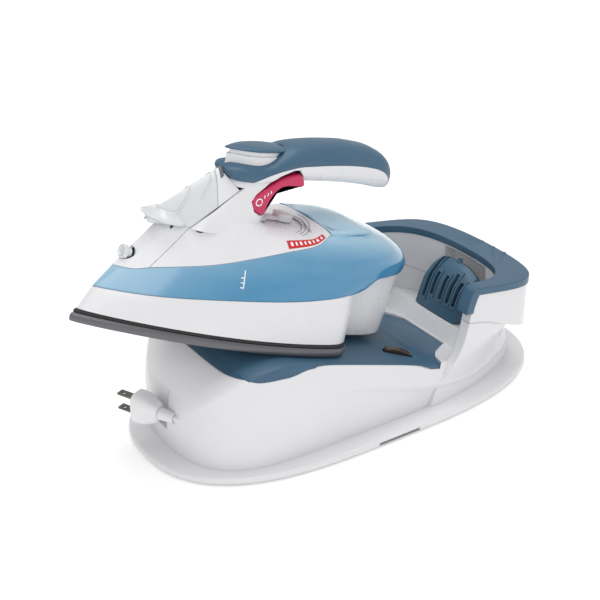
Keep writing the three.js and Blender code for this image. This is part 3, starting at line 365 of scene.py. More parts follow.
def paint_highlight_from_above(mat, deep, pale, low=0.05, high=0.85):
    """Painted light: colour by the way the surface faces, with painted shade deeper on the walls and a
    painted highlight paler on the upper shoulders.
    """
    tree = mat.node_tree
    coords = tree.nodes.new("ShaderNodeTexCoord")
    split = tree.nodes.new("ShaderNodeSeparateXYZ")
    link(tree, coords.outputs["Normal"], split.inputs["Vector"])
    ramp = tree.nodes.new("ShaderNodeValToRGB")
    ramp.color_ramp.interpolation = "EASE"
    link(tree, split.outputs["Z"], ramp.inputs["Fac"])
    ramp.color_ramp.elements[0].position = low
    ramp.color_ramp.elements[0].color = (*deep, 1)
    ramp.color_ramp.elements[1].position = high
    ramp.color_ramp.elements[1].color = (*pale, 1)
    mottle = tree.nodes.new("ShaderNodeTexNoise")
    mottle.inputs["Scale"].default_value = 14
    link(tree, coords.outputs["Object"], mottle.inputs["Vector"])
    mix = tree.nodes.new("ShaderNodeMixRGB")
    mix.blend_type = "SOFT_LIGHT"
    mix.inputs["Fac"].default_value = 0.12
    link(tree, ramp.outputs["Color"], mix.inputs["Color1"])
    link(tree, mottle.outputs["Fac"], mix.inputs["Color2"])
    link(tree, mix.outputs["Color"], tree.nodes["Principled BSDF"].inputs["Base Color"])


def srgb(r, g, b):
    def one(v):
        v /= 255
        return v / 12.92 if v <= 0.04045 else ((v + 0.055) / 1.055) ** 2.4
    return (one(r), one(g), one(b))


LOOKS = {}
for name, color, rough, settings in (
    ("white_plastic", (219, 219, 222), 0.28, dict(coat=0.25, vary=0.012, grain=0.03, wave=0.04)),
    ("base_white", (219, 219, 221), 0.32, dict(coat=0.15, vary=0.01, grain=0.03, edge=0.0012)),
    ("slate_plastic", (58, 92, 116), 0.4, dict(coat=0.08, vary=0.04, grain=0.1)),
    ("trim_slate", (58, 92, 116), 0.4, dict(coat=0.08, vary=0.04, grain=0.1, edge=0.0016)),
    ("tank_blue", (98, 172, 214), 0.12, dict(
        coat=0.6, transmission=0.22, vary=0.05, wave=0.05, edge=0.0016,
    )),
    ("clear_plastic", (240, 243, 245), 0.1, dict(
        coat=0.5, transmission=0.34, ior=1.4, vary=0.01, wave=0.04, edge=0.0008,
    )),
    ("slot_shade", (96, 96, 98), 0.6, dict(vary=0.08, grain=0.1)),
    ("plug_pin", (108, 104, 98), 0.35, dict(metallic=0.8, vary=0.06, grain=0.05)),
    ("magenta_plastic", (192, 30, 84), 0.3, dict(coat=0.2, vary=0.04, grain=0.04)),
    ("grey_plastic", (206, 208, 212), 0.34, dict(coat=0.1, vary=0.02, grain=0.06)),
    ("black_plastic", (34, 32, 32), 0.45, dict(vary=0.1, grain=0.15)),
    ("sole_coating", (104, 104, 108), 0.33, dict(metallic=0.55, vary=0.05, grain=0.05, grain_scale=1500)),
    ("cast_aluminium", (170, 172, 175), 0.5, dict(metallic=0.95, vary=0.06, grain=0.3)),
    ("contact_brass", (196, 166, 104), 0.26, dict(metallic=1, vary=0.06, grain=0.05)),
    ("steel", (160, 162, 166), 0.34, dict(metallic=1, vary=0.06, grain=0.08)),
    ("rubber", (44, 44, 46), 0.75, dict(vary=0.1, grain=0.25)),
    ("circuit_board", (30, 96, 58), 0.4, dict(vary=0.1, grain=0.1)),
    ("sensor_bronze", (86, 72, 60), 0.22, dict(metallic=0.7, coat=0.4, vary=0.12)),
    ("white_lead", (226, 226, 228), 0.5, dict(vary=0.02, grain=0.1)),
    ("red_label", (200, 34, 40), 0.35, dict(vary=0.05)),
    ("white_print", (244, 246, 248), 0.4, dict(vary=0.02)),
    ("grey_print", (96, 98, 104), 0.45, dict(vary=0.03)),
):
    LOOKS[name] = material(name, srgb(*color), rough, **settings)
# The tank's colour carries painted light: painted shade on its walls and a painted highlight on its upper
# shoulders.
paint_highlight_from_above(LOOKS["tank_blue"], srgb(58, 142, 188), srgb(186, 222, 240), 0.1, 0.95)


def piece(obj, name, look, nodes=(), body="iron", place=IRON, sharp=32.0):
    """Takes a solid made in millimetres into the row frame, as a finished piece."""
    obj.data.transform(Matrix.Scale(MM, 4) @ place)
    obj.name = name
    obj.data.name = name
    mesh = obj.data
    mesh.materials.clear()
    mesh.materials.append(LOOKS[look])
    mesh.shade_smooth()
    mesh.set_sharp_from_angle(angle=math.radians(sharp))
    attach(obj, body)
    if nodes:
        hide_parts(*nodes)
    return obj


# ================================================================== the iron
SOLE_NOSE, SOLE_TAIL = 0.0, 222.0
BODY = [
    (10, 4, 180, 57.4, 222), (27, 12, 178, 56.6, 222), (35, 17.5, 176, 55.8, 222),
    (43.5, 23.8, 174, 54.6, 232), (52, 30, 172, 53, 256), (58, 35, 170, 51.4, 274),
    (63, 38.5, 170, 50, 283.5), (69, 43, 170, 48, 285.5), (76, 50, 170, 45.6, 280),
    (84, 60, 170, 41.6, 265), (90, 75, 170, 36.4, 247), (92.3, 172, 196, 33, 238),
    (94.5, 182, 200, 27, 229), (96.6, 190, 204, 18.5, 219), (97.8, 197, 206, 8, 213),
]
SKIRT_TOP = [(0, 25.4), (11, 27), (46, 30), (106, 37.5), (163, 43.5), (217, 50), (235, 60.5), (300, 62.5)]
SHELL_FOOT = [(22, 44), (35, 45.2), (45, 48.5), (86, 59.5), (115, 69), (141, 77), (165, 83), (179, 90)]
SHELL_REAR = 181
CROWN = [
    (22, 43.6, 1.6), (24, 45, 1.6), (35, 58, 1.5), (42, 66.5, 1.45), (50, 77.5, 1.4), (60, 90.5, 1.36),
    (70, 100.8, 1.35), (82, 110, 1.4), (94, 117.8, 1.5), (106, 108, 1.7), (118, 98, 2.2), (128, 90.4, 3),
    (136, 87.4, 4.5), (165, 87.4, 5), (172, 89.2, 5), (181, 92.6, 4.5),
]
BOAT = 72
ARCH = 48


def boat_half(x, b):
    nose, widest, half, tail, bow, stern = b
    if x <= nose or x >= tail:
        return 0.0
    if x <= widest:
        return half * math.sin(math.pi / 2 * (x - nose) / (widest - nose)) ** bow
    return half * (1 - ((x - widest) / (tail - widest)) ** stern) ** (1 / stern)


def boat_outline(b, inset=0.0):
    nose, widest, half, tail, bow, stern = b
    nose += inset * 1.6
    tail -= inset
    shape = (nose, widest, half - inset, tail, bow, stern)
    near = []
    for i in range(BOAT + 1):
        x = nose + (tail - nose) * (0.5 - 0.5 * math.cos(math.pi * i / BOAT)) ** 1.1
        near.append((x, -boat_half(x, shape)))
    near[0] = (nose, 0)
    near[-1] = (tail, 0)
    return near + [(x, -y) for x, y in near[-2:0:-1]]


SOLE = (SOLE_NOSE, 186, 59.3, SOLE_TAIL, 0.85, 3.4)


def body_at(z, smoothly=True):
    nose, widest, half, tail = (smooth if smoothly else linear)(BODY, z)
    return (nose, widest, half, tail, 0.8, 2.3)


def body_stack(heights, inset=0.0, tail=None, stern=None):
    rings = []
    for z in heights:
        b = list(body_at(z))
        if tail:
            b[3] = tail
        if stern:
            b[5] = stern
        rings.append([(x, y, z) for x, y in boat_outline(tuple(b), inset)])
    return lofted(rings)


def line_of(rows, low, high, lift, count=90):
    return [(x, smooth(rows, x)[0] + lift) for x in spans(low, high, count)]


def above(rows, lift, low=-20, high=320):
    return across(line_of(rows, low, high, lift) + [(high, 300), (low, 300)], 90)


def below(rows, lift, low=-20, high=320):
    return across([(low, -60), (high, -60)] + line_of(rows, low, high, lift)[::-1], 90)


def make_sole():
    edge = ((0, 2.2), (0.25, 1.3), (0.8, 0.5), (1.7, 0.05), (3, 0), (5.4, 0), (6.3, 0.35), (7, 1.2))
    plate = lofted([ring_at(boat_outline(SOLE, inset), z) for z, inset in edge])
    holes = []
    for i in range(6):
        x = 34 + i * 25
        y = boat_half(x, SOLE) - 11
        holes += [(x, y), (x, -y)]
    holes += [(26, 0), (52, 0)]
    for x, y in holes:
        plate = cut(plate, rod(2.1, 20, (x, y, 3), sides=24))
        plate = cut(plate, lathed([(0.01, -1), (3.6, -1), (2.1, 1.1), (0.01, 1.1)], (x, y, 0), sides=24))
    piece(plate, "soleplate_plate", "sole_coating", ["soleplate"])
    edge = ((7.3, 1.6), (7.7, 1.2), (9.2, 1.2), (9.8, 1.8))
    rim = lofted([ring_at(boat_outline(SOLE, inset), z) for z, inset in edge])
    rim = cut(rim, lofted([ring_at(boat_outline(SOLE, 9), z) for z in (6, 11)]))
    piece(rim, "sole_rim_band", "black_plastic", ["sole_rim"])


def make_skirt():
    heights = [10.1, 10.5] + spans(12, 52, 16)
    skirt = body_stack(heights, 0, 221.5, 3.4)
    skirt = cut(skirt, body_stack([8, 14, 20, 28, 36, 44, 54], 2.4, 221.5, 3.4))
    skirt = cut(skirt, above(SKIRT_TOP[:6], 0, -20, 260))
    piece(skirt, "skirt_shell", "white_plastic", ["skirt"])


LEVER_AT = 134.0


def make_tank():
    heights = spans(24, 90, 34) + [91.5, 93, 94.5, 95.8, 96.8, 97.5, 97.8]
    tank = body_stack(heights)
    tank = cut(tank, below(SKIRT_TOP, GAP))
    tank = cut(tank, above(SHELL_FOOT, -GAP, -20, SHELL_REAR + GAP))
    inner = body_stack(spans(24, 90, 16) + [93, 95.4], 2.4)
    inner = cut(inner, below(SKIRT_TOP, GAP + 2.4))
    inner = cut(inner, above(SHELL_FOOT, -GAP - 2.4, -20, SHELL_REAR + GAP + 2.4))
    tank = cut(tank, inner)
    tank = cut(tank, rod(9, 40, (70, 0, 60)))
    tank = cut(tank, rod(4.2, 60, (104, 0, 50)))
    tank = cut(tank, rod(5, 40, (40, 0, 44)))
    tank = join(tank, rod(7.2, 33, (LEVER_AT, 0, 57.8)))
    tank = cut(tank, rod(4.6, 90, (LEVER_AT, 0, 62)))
    return piece(tank, "tank_shell", "tank_blue", ["water_tank"])


def arch_ring(x, inset=0.0, deep=0.0):
    foot = smooth(SHELL_FOOT, x)[0] - deep
    crown, power = smooth(CROWN, x)
    half = max(boat_half(x, body_at(foot + deep)) - inset, 0.4)
    rise = max(crown - inset * 1.25 - foot, 0.3)
    ring = []
    for i in range(ARCH + 1):
        s = math.sin(math.pi / 2 * (2 * i / ARCH - 1))
        ring.append((x, half * s, foot + rise * (1 - abs(s) ** power)))
    return ring


PEDESTAL = [
    (80, 66, 132, 24), (92, 74, 132.5, 22.5), (104, 84, 143.5, 20), (114, 93, 149, 18),
    (121.5, 101, 155, 16.6),
]


def pedestal(rows, inset=0.0):
    rings = []
    for z in spans(rows[0][0], rows[-1][0], 14):
        low, high, half = smooth(rows, z)
        outline = circle((high - low) / 2 - inset, half - inset, 72, 2 / 3)
        rings.append([((low + high) / 2 + x, y, z) for x, y in outline])
    return lofted(rings)


SEAM = [(45, 40), (45, 48.5), (70, 80.6), (106, 114)]
NEST_EDGE = [(41, 78.2), (47, 78.4), (70, 80.9), (103, 111.5), (88.8, 124.4), (87, 140), (41, 140)]
DOOR_EDGE = NEST_EDGE[:3] + [(88, 97.6), (88, 140), (41, 140)]
BAND_EDGE = [(88 + GAP, 97.9), (103, 111.5), (89.6, 123.7), (88 + GAP, 123.7)]


DOOR_SLOPE = 0.785
DOOR_POWER = 1.38


def door_crown(x):
    return 84.6 + (x - 42) * DOOR_SLOPE


def door_ring(x, lower):
    foot = smooth(SHELL_FOOT, x)[0]
    half = boat_half(x, body_at(foot))
    rise = door_crown(x) - lower - foot
    ring = []
    for i in range(ARCH + 1):
        s = math.sin(math.pi / 2 * (2 * i / ARCH - 1))
        ring.append((x, half * s, foot + rise * (1 - abs(s) ** DOOR_POWER)))
    return ring


def door_loft(low, high, lower, count=30):
    return lofted([door_ring(x, lower) for x in spans(low, high, count)])


TRIGGER = [
    (123.5, 95.6), (128.4, 96.5), (129.3, 102.6), (131.9, 110.2), (136.5, 116.1), (142.4, 118.4),
    (155.8, 119.8), (156.8, 123.8), (152, 128.8), (147, 128.4), (136.4, 124), (124.9, 115.5),
    (117.5, 110.4), (113.9, 105.7), (116.7, 98.8),
]
TRIGGER_PIVOT = (119, 102)
TRIGGER_SWING = 0.1
LEVER_LOW = 88.2


def swollen(outline, by):
    out = []
    n = len(outline)
    for i, (x, z) in enumerate(outline):
        before, after = outline[i - 1], outline[(i + 1) % n]
        a = Vector((x - before[0], z - before[1])).normalized()
        b = Vector((after[0] - x, after[1] - z)).normalized()
        normal = Vector((a.y + b.y, -a.x - b.x)).normalized()
        reach = by / max(0.4, normal.dot(Vector((a.y, -a.x))))
        out.append((x + normal.x * reach, z + normal.y * reach))
    return out


def swung(outline, turn):
    px, pz = TRIGGER_PIVOT
    c, s = math.cos(turn), math.sin(turn)
    return [(px + (x - px) * c - (z - pz) * s, pz + (x - px) * s + (z - pz) * c) for x, z in outline]


def trigger_room():
    rim = swollen(TRIGGER, 0.6)
    room = across(rim, 40)
    for turn in (TRIGGER_SWING / 2, TRIGGER_SWING):
        room = join(room, across(swung(rim, turn), 40))
    return room


def finger_room():
    """The open space behind the trigger, above the deck."""
    edge = TRIGGER[1:7]
    return across([(126, 95)] + edge + [(157, 119.4), (220, 119.4), (220, 95)], 40)


def make_shell():
    stations = sorted(set(spans(22.5, 181, 110) + [50, 52, 165, 172, 179, 181]))
    outer = lofted([arch_ring(x) for x in stations])
    inner = lofted([arch_ring(x, 2.4, 4) for x in spans(30, 178.4, 60)])
    skin = cut(copied(outer), copied(inner))
    upper = join(outer, pedestal(PEDESTAL))
    upper = cut(upper, inner)
    upper = cut(upper, pedestal([(70, 62, 136, 24)] + PEDESTAL + [(124, 103, 157, 16.2)], 2.4))
    nest = across([
        (x + (-30 if i < 2 else GAP), z - (GAP if i < 4 else 0)) for i, (x, z) in enumerate(NEST_EDGE)
    ], 60)
    clearance = cut(nest, door_loft(30, 116, 3.8, 40))
    chute = across([(58, 30), (84, 30), (84, 130), (58, 130)], 9)
    front_side = across([(-10, 30)] + SEAM + [(-10, 114)], 80)
    grown = across([(-10, 30)] + [(x + GAP, z - 0.1) for x, z in SEAM] + [(-10, 114)], 80)
    cover = meet(skin, front_side)
    cover = cut(cover, copied(clearance))
    cover = cut(cover, copied(chute))
    side = cut(cut(cut(upper, clearance), grown), chute)
    side = cut(side, rod(4.6, 40, (LEVER_AT, 0, 72)))
    nozzle_at, nozzle_turn = (28.6, 0, 54.6), (0, -1.45, 0)
    cover = cut(cover, rod(5.4, 18, nozzle_at, nozzle_turn))
    side = cut(cut(side, trigger_room()), finger_room())
    fan = [(LEVER_AT, 0), (170, -26), (174, -12), (175, 0), (174, 12), (170, 26)]
    slot = rod(9.6, 4.2, (LEVER_AT, 0, LEVER_LOW + 1.4))
    side = cut(side, join(slot, prism(fan, LEVER_LOW - 0.7, LEVER_LOW + 3.5)))
    piece(side, "upper_shell", "white_plastic", ["upper_housing"])
    piece(cover, "front_cover_shell", "white_plastic", ["front_cover"])
    nozzle = lathed([
        (0.9, -7), (3.4, -7), (3.4, -3.4), (5, -3.4), (5, -0.6), (4.9, 0), (4.5, 0.3), (4.1, 0.2),
        (3.8, -0.5), (3.3, -1.4), (2.2, -1.6), (1.7, -0.4), (1.2, -0.2), (0.9, -0.6),
    ], nozzle_at, nozzle_turn)
    piece(nozzle, "nozzle_ring", "clear_plastic", ["spray_nozzle"])
    shell = cut(door_loft(42, 107, 0), door_loft(36, 116, 3.2, 40))
    door = meet(copied(shell), across(DOOR_EDGE, 60))
    band = meet(shell, across(BAND_EDGE, 60))
    piece(door, "door_shell", "clear_plastic", ["filler_door"], body="filler_door")
    piece(band, "door_collar", "white_plastic", ["door_band"])


def door_face(x, y, lift=0.0):
    """Point on the door's outer face."""
    foot = smooth(SHELL_FOOT, x)[0]
    share = min(abs(y) / boat_half(x, body_at(foot)), 1)
    rise = door_crown(x) - foot
    return (x - lift * 0.6, y, foot + rise * (1 - share ** DOOR_POWER) + lift * 0.8)


SUNK = 0.3


def strip(line, face, width, lift, pointed=False):
    """A thin printed or moulded line on a surface; line is (u, v) points, face gives the place."""
    edge = lift * 0.6 if pointed else lift * 0.99
    rings = []
    for i, (u, v) in enumerate(line):
        before, after = line[max(i - 1, 0)], line[min(i + 1, len(line) - 1)]
        along = Vector((after[0] - before[0], after[1] - before[1])).normalized()
        side = Vector((-along.y, along.x)) * width / 2
        a, b = (u - side.x, v - side.y), (u + side.x, v + side.y)
        crest = [face(u, v, lift)] if pointed else []
        rings.append([face(*a, -SUNK), face(*a, edge)] + crest + [face(*b, edge), face(*b, -SUNK)])
    return lofted(rings)


def arc_line(centre, reach, low, high, count=30):
    return [
        (centre[0] + reach[0] * math.cos(a), centre[1] + reach[1] * math.sin(a))
        for a in spans(math.radians(low), math.radians(high), count)
    ]


def make_door_details():
    ridge = strip(arc_line((60, 0), (10.5, 7.6), 12, 348, 60), door_face, 1.3, 0.7, True)
    piece(ridge, "door_ridge", "clear_plastic", body="filler_door")
    upper = strip(arc_line((70, 0), (15, 10.4), -62, 62, 40), door_face, 0.9, 0.5, True)
    piece(upper, "door_upper_ridge", "clear_plastic", body="filler_door")
    rings = []
    for k, z in ((0.9, -0.7), (0.98, -0.5), (1.0, 0), (0.99, 0.6), (0.9, 1.4), (0.7, 3.4), (0.5, 5.8)):
        rings.append([(x, y * (1 - 0.12 * x / (17 * k)), z) for x, y in circle(17 * k, 19 * k, 64)])
    front_lip = turned(lofted(rings), (56.5, 0, 82.4), (0, 0.06, 0))
    front_lip = cut(front_lip, door_loft(36, 116, 3.2, 40))
    piece(front_lip, "door_lip", "clear_plastic", body="filler_door")
    slot = strip([(91.6 + 0.012 * y * y, y) for y in spans(-6.5, 6.5, 24)], door_face, 2.2, 0.35)
    piece(slot, "collar_slot", "grey_print")
    rings = []
    for k, z in ((0.98, -1.5), (1.0, -0.8), (1.0, 0), (0.94, 0.6), (0.8, 0.8)):
        rings.append([(71 + x, y, 90.5 + x * DOOR_SLOPE + z) for x, y in circle(12.6 * k, 8.6 * k)])
    piece(lofted(rings), "filler_stopper", "white_plastic")


def deck_face(x, y, lift=0.0):
    """Point on the white shell's outer face."""
    foot = smooth(SHELL_FOOT, x)[0]
    crown, power = smooth(CROWN, x)
    share = min(abs(y) / max(boat_half(x, body_at(foot)), 0.4), 1)
    return (x, y, foot + (crown - foot) * (1 - share ** power) + lift)


def tank_face(x, z, lift=0.0):
    """Point on the near side of the tank."""
    return (x, -boat_half(x, body_at(z)) - lift, z)


def joined(solids):
    whole = solids[0]
    for other in solids[1:]:
        whole = join(whole, other)
    return whole


def near_edge(x, share, lift=0.0):
    """Point on the deck at a share of the way to its near edge."""
    foot = smooth(SHELL_FOOT, x)[0]
    x, y, z = deck_face(x, -share * boat_half(x, body_at(foot)))
    return (x, y - lift * 0.75, z + lift * 0.75)


def make_scale():
    shape = ((0.83, -SUNK), (0.83, 0.16), (0.88, 0.2), (0.93, 0.2), (0.965, 0.16), (0.965, -SUNK))
    red = lofted([[near_edge(x, share, lift) for share, lift in shape] for x in spans(141, 175, 40)])
    piece(red, "scale_band", "red_label")
    shape = ((0.865, -0.2), (0.865, 0.32), (0.93, 0.36), (0.93, -0.2))
    ticks = []
    for i, x in enumerate(spans(144.5, 172, 8)):
        wide = 1.3 if i % 2 else 1.9
        along = spans(x - wide / 2, x + wide / 2, 4)
        ticks.append(lofted([[near_edge(u, share, lift) for share, lift in shape] for u in along]))
    piece(joined(ticks), "scale_marks", "white_print")
    arcs = [
        strip(arc_line((141, 0), (reach, reach * 0.92), -62, 10, 40), deck_face, 0.4, 0.14)
        for reach in (31.5, 34.5, 37.5)
    ]
    piece(joined(arcs), "scale_arcs", "grey_print")


def make_level_mark():
    lines = [[(108, z) for z in spans(47, 60, 16)]]
    lines += [[(x, z) for x in spans(105.6, 108, 5)] for z in (47.5, 51, 54.5)]
    level = joined([strip(line, tank_face, 0.7, 0.2) for line in lines])
    piece(level, "level_mark", "white_print")


def make_icons():
    """Generic symbols: a spray of dashes on the button, steam over a ring on the trigger."""
    def cap_face(u, v, lift=0.0):
        return (u, v, 4.9 + lift)

    def trigger_face(x, z, lift=0.0):
        return (x, -TRIGGER_HALF - lift, z)

    lines = [[(4 - 8 * t, a * 5 - a * 6 * t - 1) for t in spans(0, 1, 6)] for a in (-0.5, 0, 0.5)]
    lines.append(arc_line((7, -1), (2.2, 2.2), 0, 300, 24))
    icon = turned(joined([strip(line, cap_face, 0.8, 0.12) for line in lines]), BUTTON_AT, BUTTON_TILT)
    piece(icon, "spray_icon", "white_print", body="spray_button")
    sign = [strip(arc_line((120.6, 105), (2.6, 2.6), 0, 350, 30), trigger_face, 0.8, 0.14)]
    for x, z in ((124, 108.4), (126.4, 110.4), (128.6, 112.2)):
        puff = [(x, z), (x + 0.4, z + 1.2), (x - 0.2, z + 2.4)]
        sign.append(strip(puff, trigger_face, 0.7, 0.14))
    piece(joined(sign), "steam_icon", "white_print", body="steam_trigger")


def make_slot_painted_shade():
    # A dark grey block inside the flange's cord notch, as painted shade in the slot.
    back = box((37.5, 3, 1.9), (-9, -89.0, 3.2))
    piece(back, "flange_slot_painted_shade", "slot_shade", body="base", place=BASE)


HANDLE = [
    (93, 121.5, 124.6, 9), (97, 117.5, 128, 14), (105, 115, 129.6, 17), (118, 114, 131.5, 18.4),
    (126, 115.6, 134.4, 18.6), (132, 116.6, 139.4, 18.8), (138, 118, 143.8, 18.9), (145, 119.4, 147.4, 19),
    (160, 121.4, 151, 19), (180, 122.8, 153.9, 19), (200, 123.8, 155.4, 19), (216, 124, 155, 19),
    (228, 123.6, 152.6, 18.4), (236, 123, 148.8, 16.6), (242, 123.2, 142.6, 13), (245.6, 125, 136, 7.5),
]
GRIP_LINE = [
    (80, 108), (100, 110), (107, 115), (119, 122.6), (137, 130.8), (153, 135.5), (211, 141.4), (221, 141),
    (230, 139), (237, 134.8), (241.5, 128), (243.5, 118), (246, 104), (260, 100),
]


def bar_ring(x, low, high, half, inset=0.0):
    outline = circle(half - inset, (high - low) / 2 - inset, 64, 0.8)
    return [(x, y, (low + high) / 2 + z) for y, z in outline]


BUTTON_AT = (119, 0, 138)
BUTTON_TILT = (0, -0.1, 0)


LEAF = [
    (-25.5, 0), (-21, -3.6), (-14, -8), (-5, -11.2), (5, -12), (14, -11), (21, -7.6), (24.5, -2.6),
]


def leaf(z, k):
    """The button's outline: pointed at the front, round at the rear."""
    outline = rounded(LEAF + [(x, -y) for x, y in LEAF[:0:-1]], True, 8)
    return [(x * k, y * k, z) for x, y in outline]


def leaf_solid(rows):
    return turned(lofted([leaf(z, k) for z, k in rows]), BUTTON_AT, BUTTON_TILT)


def make_handle():
    xs = spans(93, 145, 40) + spans(147, 236, 40) + [238, 240, 242, 243.4, 244.6, 245.6]
    outer = lofted([bar_ring(x, *smooth(HANDLE, x)) for x in xs])
    inner_rows = HANDLE[2:-1]
    inner = lofted([bar_ring(x, *smooth(inner_rows, x), 3) for x in spans(105, 242, 50)])
    shell = cut(outer, inner)
    grown_rows = PEDESTAL + [(126, 101, 157, 16.6)]
    shell = cut(shell, pedestal(grown_rows, -GAP))
    grip = cut(copied(shell), below(GRIP_LINE, GAP / 2, 70, 300))
    under = cut(shell, above(GRIP_LINE, -GAP / 2, 70, 300))
    grip = cut(grip, leaf_solid([(-22, 0.9), (30, 0.9)]))
    under = cut(under, trigger_room())
    piece(grip, "grip_shell", "slate_plastic", ["handle_grip"])
    piece(under, "grip_underside", "white_plastic", ["handle_underside"])
    rows = [(-13, 1.0), (-9, 0.97), (-5, 0.96), (-1.9, 0.98), (-1.3, 0.96)]
    block = cut(leaf_solid(rows), leaf_solid([(-20, 0.9), (30, 0.9)]))
    block = cut(block, trigger_room())
    piece(block, "button_surround", "white_plastic", ["button_block"])
    rows = [
        (-4.5, 0.8), (2.1, 0.8), (2.15, 1.0), (2.9, 1.06), (3.6, 1.04), (4.2, 0.97), (4.7, 0.85),
        (5.2, 0.6),
    ]
    button = cut(leaf_solid(rows), leaf_solid([(-10, 0.7), (1.6, 0.7)]))
    stem = turned(join(box((3, 16, 4), (0, 0, 0)), rod(2.4, 16, (0, 0, -4.8))), BUTTON_AT, BUTTON_TILT)
    button = join(button, stem)
    piece(button, "spray_button_cap", "slate_plastic", ["spray_button"], body="spray_button")
    column = cut(leaf_solid([(-4.3, 0.88), (2.1, 0.88)]), leaf_solid([(-10, 0.82), (10, 0.82)]))
    piece(column, "button_column", "white_plastic", body="spray_button")


TRIGGER_HALF = 18.6
TRIGGER_LAYERS = [(-TRIGGER_HALF, -1.2), (-18.2, -0.6), (-17.5, -0.15), (-16, 0)]


def make_trigger():
    outline = rounded(TRIGGER, True, 6)
    layers = TRIGGER_LAYERS + [(-y, by) for y, by in TRIGGER_LAYERS[::-1]]
    lever = lofted([[(x, y, z) for x, z in swollen(outline, by)] for y, by in layers])
    piece(lever, "trigger_lever", "magenta_plastic", ["steam_trigger"], body="steam_trigger")


def make_lever():
    lever = rod(9, 2.8, (LEVER_AT, 0, LEVER_LOW + 1.4), sides=64)
    lever = join(lever, box((22, 7, 2.8), (LEVER_AT + 11, 0, LEVER_LOW + 1.4)))
    outline = rounded([(-1, -0.9), (1, -1), (1, 1), (-1, 0.9)], True, 6)
    rings = []
    for z, k in ((0, 0.96), (4.6, 0.96), (5.6, 0.9), (6, 0.78)):
        rings.append([(LEVER_AT + 25 + 6 * u * k, 6 * v * k, LEVER_LOW + z) for u, v in outline])
    lever = join(lever, lofted(rings))
    piece(lever, "lever_arm", "grey_plastic", ["temperature_lever"], body="temperature_lever")


HEEL_PLAN = [(222.3, 25.5), (240, 25.5), (256, 24.4), (268, 21), (275, 16), (276.6, 12.5)]


def make_heel():
    near = rounded(HEEL_PLAN, False, 8)
    outline = near + [(x, -y) for x, y in near[::-1]]
    rings = []
    for z, inset in ((4.4, 1.6), (4.9, 0.6), (6, 0), (12, 0), (28, 0), (42, 0), (59.6, 0)):
        ring = []
        for x, y in outline:
            k = min(max((x - 222.3) / 17.7, 0), 1)
            ring.append((x + k * min(z, 42) * 0.075 - inset * k, y - math.copysign(inset, y), z))
        rings.append(ring)
    heel = lofted(rings)
    heel = cut(heel, box((37, 44, 60), (242.8, 0, 33)))
    heel = cut(heel, above(SKIRT_TOP, 0))
    for y in (8.5, -3):
        heel = cut(heel, box((12, 7, 17), (268.2, y, 41.5)))
        heel = cut(heel, box((20, 2, 15), (278, y, 41.5)))
    piece(heel, "heel_shell", "white_plastic", ["heel_housing"])


# ================================================================== the base
ISLAND_FRONT = -168.0
WALL_TOP = 104.0
CAP_THICK = 6.4
TRAY_REAR = (88.0, 24.8)
FLANGE_LOW, FLANGE_TOP = 1.6, 6.2
SUPER = 80
FLANGE = (BASE_FRONT, 177, 92, 3.3, 3.0)
RAISED = [
    (1.6, 168, 77.5, 2.1), (6, 168, 77.5, 2.1), (14, 163, 76.5, 2.1), (30, 154, 75.6, 2.6),
    (46, 153, 75, 4.5), (60, 156, 75, 8), (WALL_TOP, 158, 75, 12),
]


def super_half(x, o):
    front, rear, half, front_power, rear_power = o
    centre, reach = (front + rear) / 2, (rear - front) / 2
    t = min(abs(x - centre) / reach, 1)
    return half * (1 - t ** (front_power if x < centre else rear_power)) ** (1 / 2.4)


def super_outline(o, inset=0.0):
    front, rear, half, fp, rp = o
    shape = (front + inset, rear - inset, half - inset, fp, rp)
    near = []
    for i in range(SUPER + 1):
        x = shape[0] + (shape[1] - shape[0]) * (0.5 - 0.5 * math.cos(math.pi * i / SUPER))
        near.append((x, -super_half(x, shape)))
    near[0] = (near[0][0], 0)
    near[-1] = (near[-1][0], 0)
    return near + [(x, -y) for x, y in near[-2:0:-1]]


def raised_at(z):
    rear, half, rear_power = smooth(RAISED, z)
    return (ISLAND_FRONT, rear, half, 6.5, rear_power)


def tray_plane(x):
    return TRAY_REAR[1] + (TRAY_REAR[0] - x) * math.tan(PITCH)


FRONT_ROUND = 58
FRONT_FROM = -90
FRONT_CENTRE = (
    FRONT_FROM - FRONT_ROUND * math.sin(PITCH),
    tray_plane(FRONT_FROM) - FRONT_ROUND * math.cos(PITCH),
)


def tray_top(x, inset=0.0):
    if x < FRONT_FROM:
        reach = max((FRONT_ROUND - inset) ** 2 - (x - FRONT_CENTRE[0]) ** 2, 0)
        return FRONT_CENTRE[1] + math.sqrt(reach)
    return tray_plane(min(x, TRAY_REAR[0])) - inset


def lip(x):
    """How far the white rim stands above the tray."""
    return 2.2 - 2 * min(1, max(0, -(x + 60) / 40))


def island_ring(x, inset=0.0):
    """One cross section: wall, fold line, sloping band, rounded rim."""
    top = tray_top(x, inset) + lip(x)
    low = -4 if inset else FLANGE_LOW + 1
    half = max(super_half(x, (ISLAND_FRONT, 166, 76.5, 6.5, 2.1)) - inset, 1)
    band = min(20, (top - low) * 0.55)
    lean = min(1, half / 20)
    wall = top - band
    near = [(x, -half + lean * (2.6 - 0.8 * k), low + (wall - low) * k) for k in (0, 0.4, 0.75)]
    fold = rounded([
        (-half + 1.6 * lean, wall - 3.4), (-half + 0.7 * lean, wall - 1), (-half + 0.2 * lean, wall + 1.4),
        (-half + 0.6 * lean, wall + 4), (-half + 3.8 * lean, top - band * 0.22),
        (-half + 4.7 * lean, top - band * 0.08), (-half + 7 * lean, top),
    ], False, 6)
    near += [(x, y, z) for y, z in fold]
    return near + [(a, -y, z) for a, y, z in near[::-1]]


def raised_stack(heights, inset=0.0):
    return lofted([ring_at(super_outline(raised_at(z), inset), z) for z in heights])


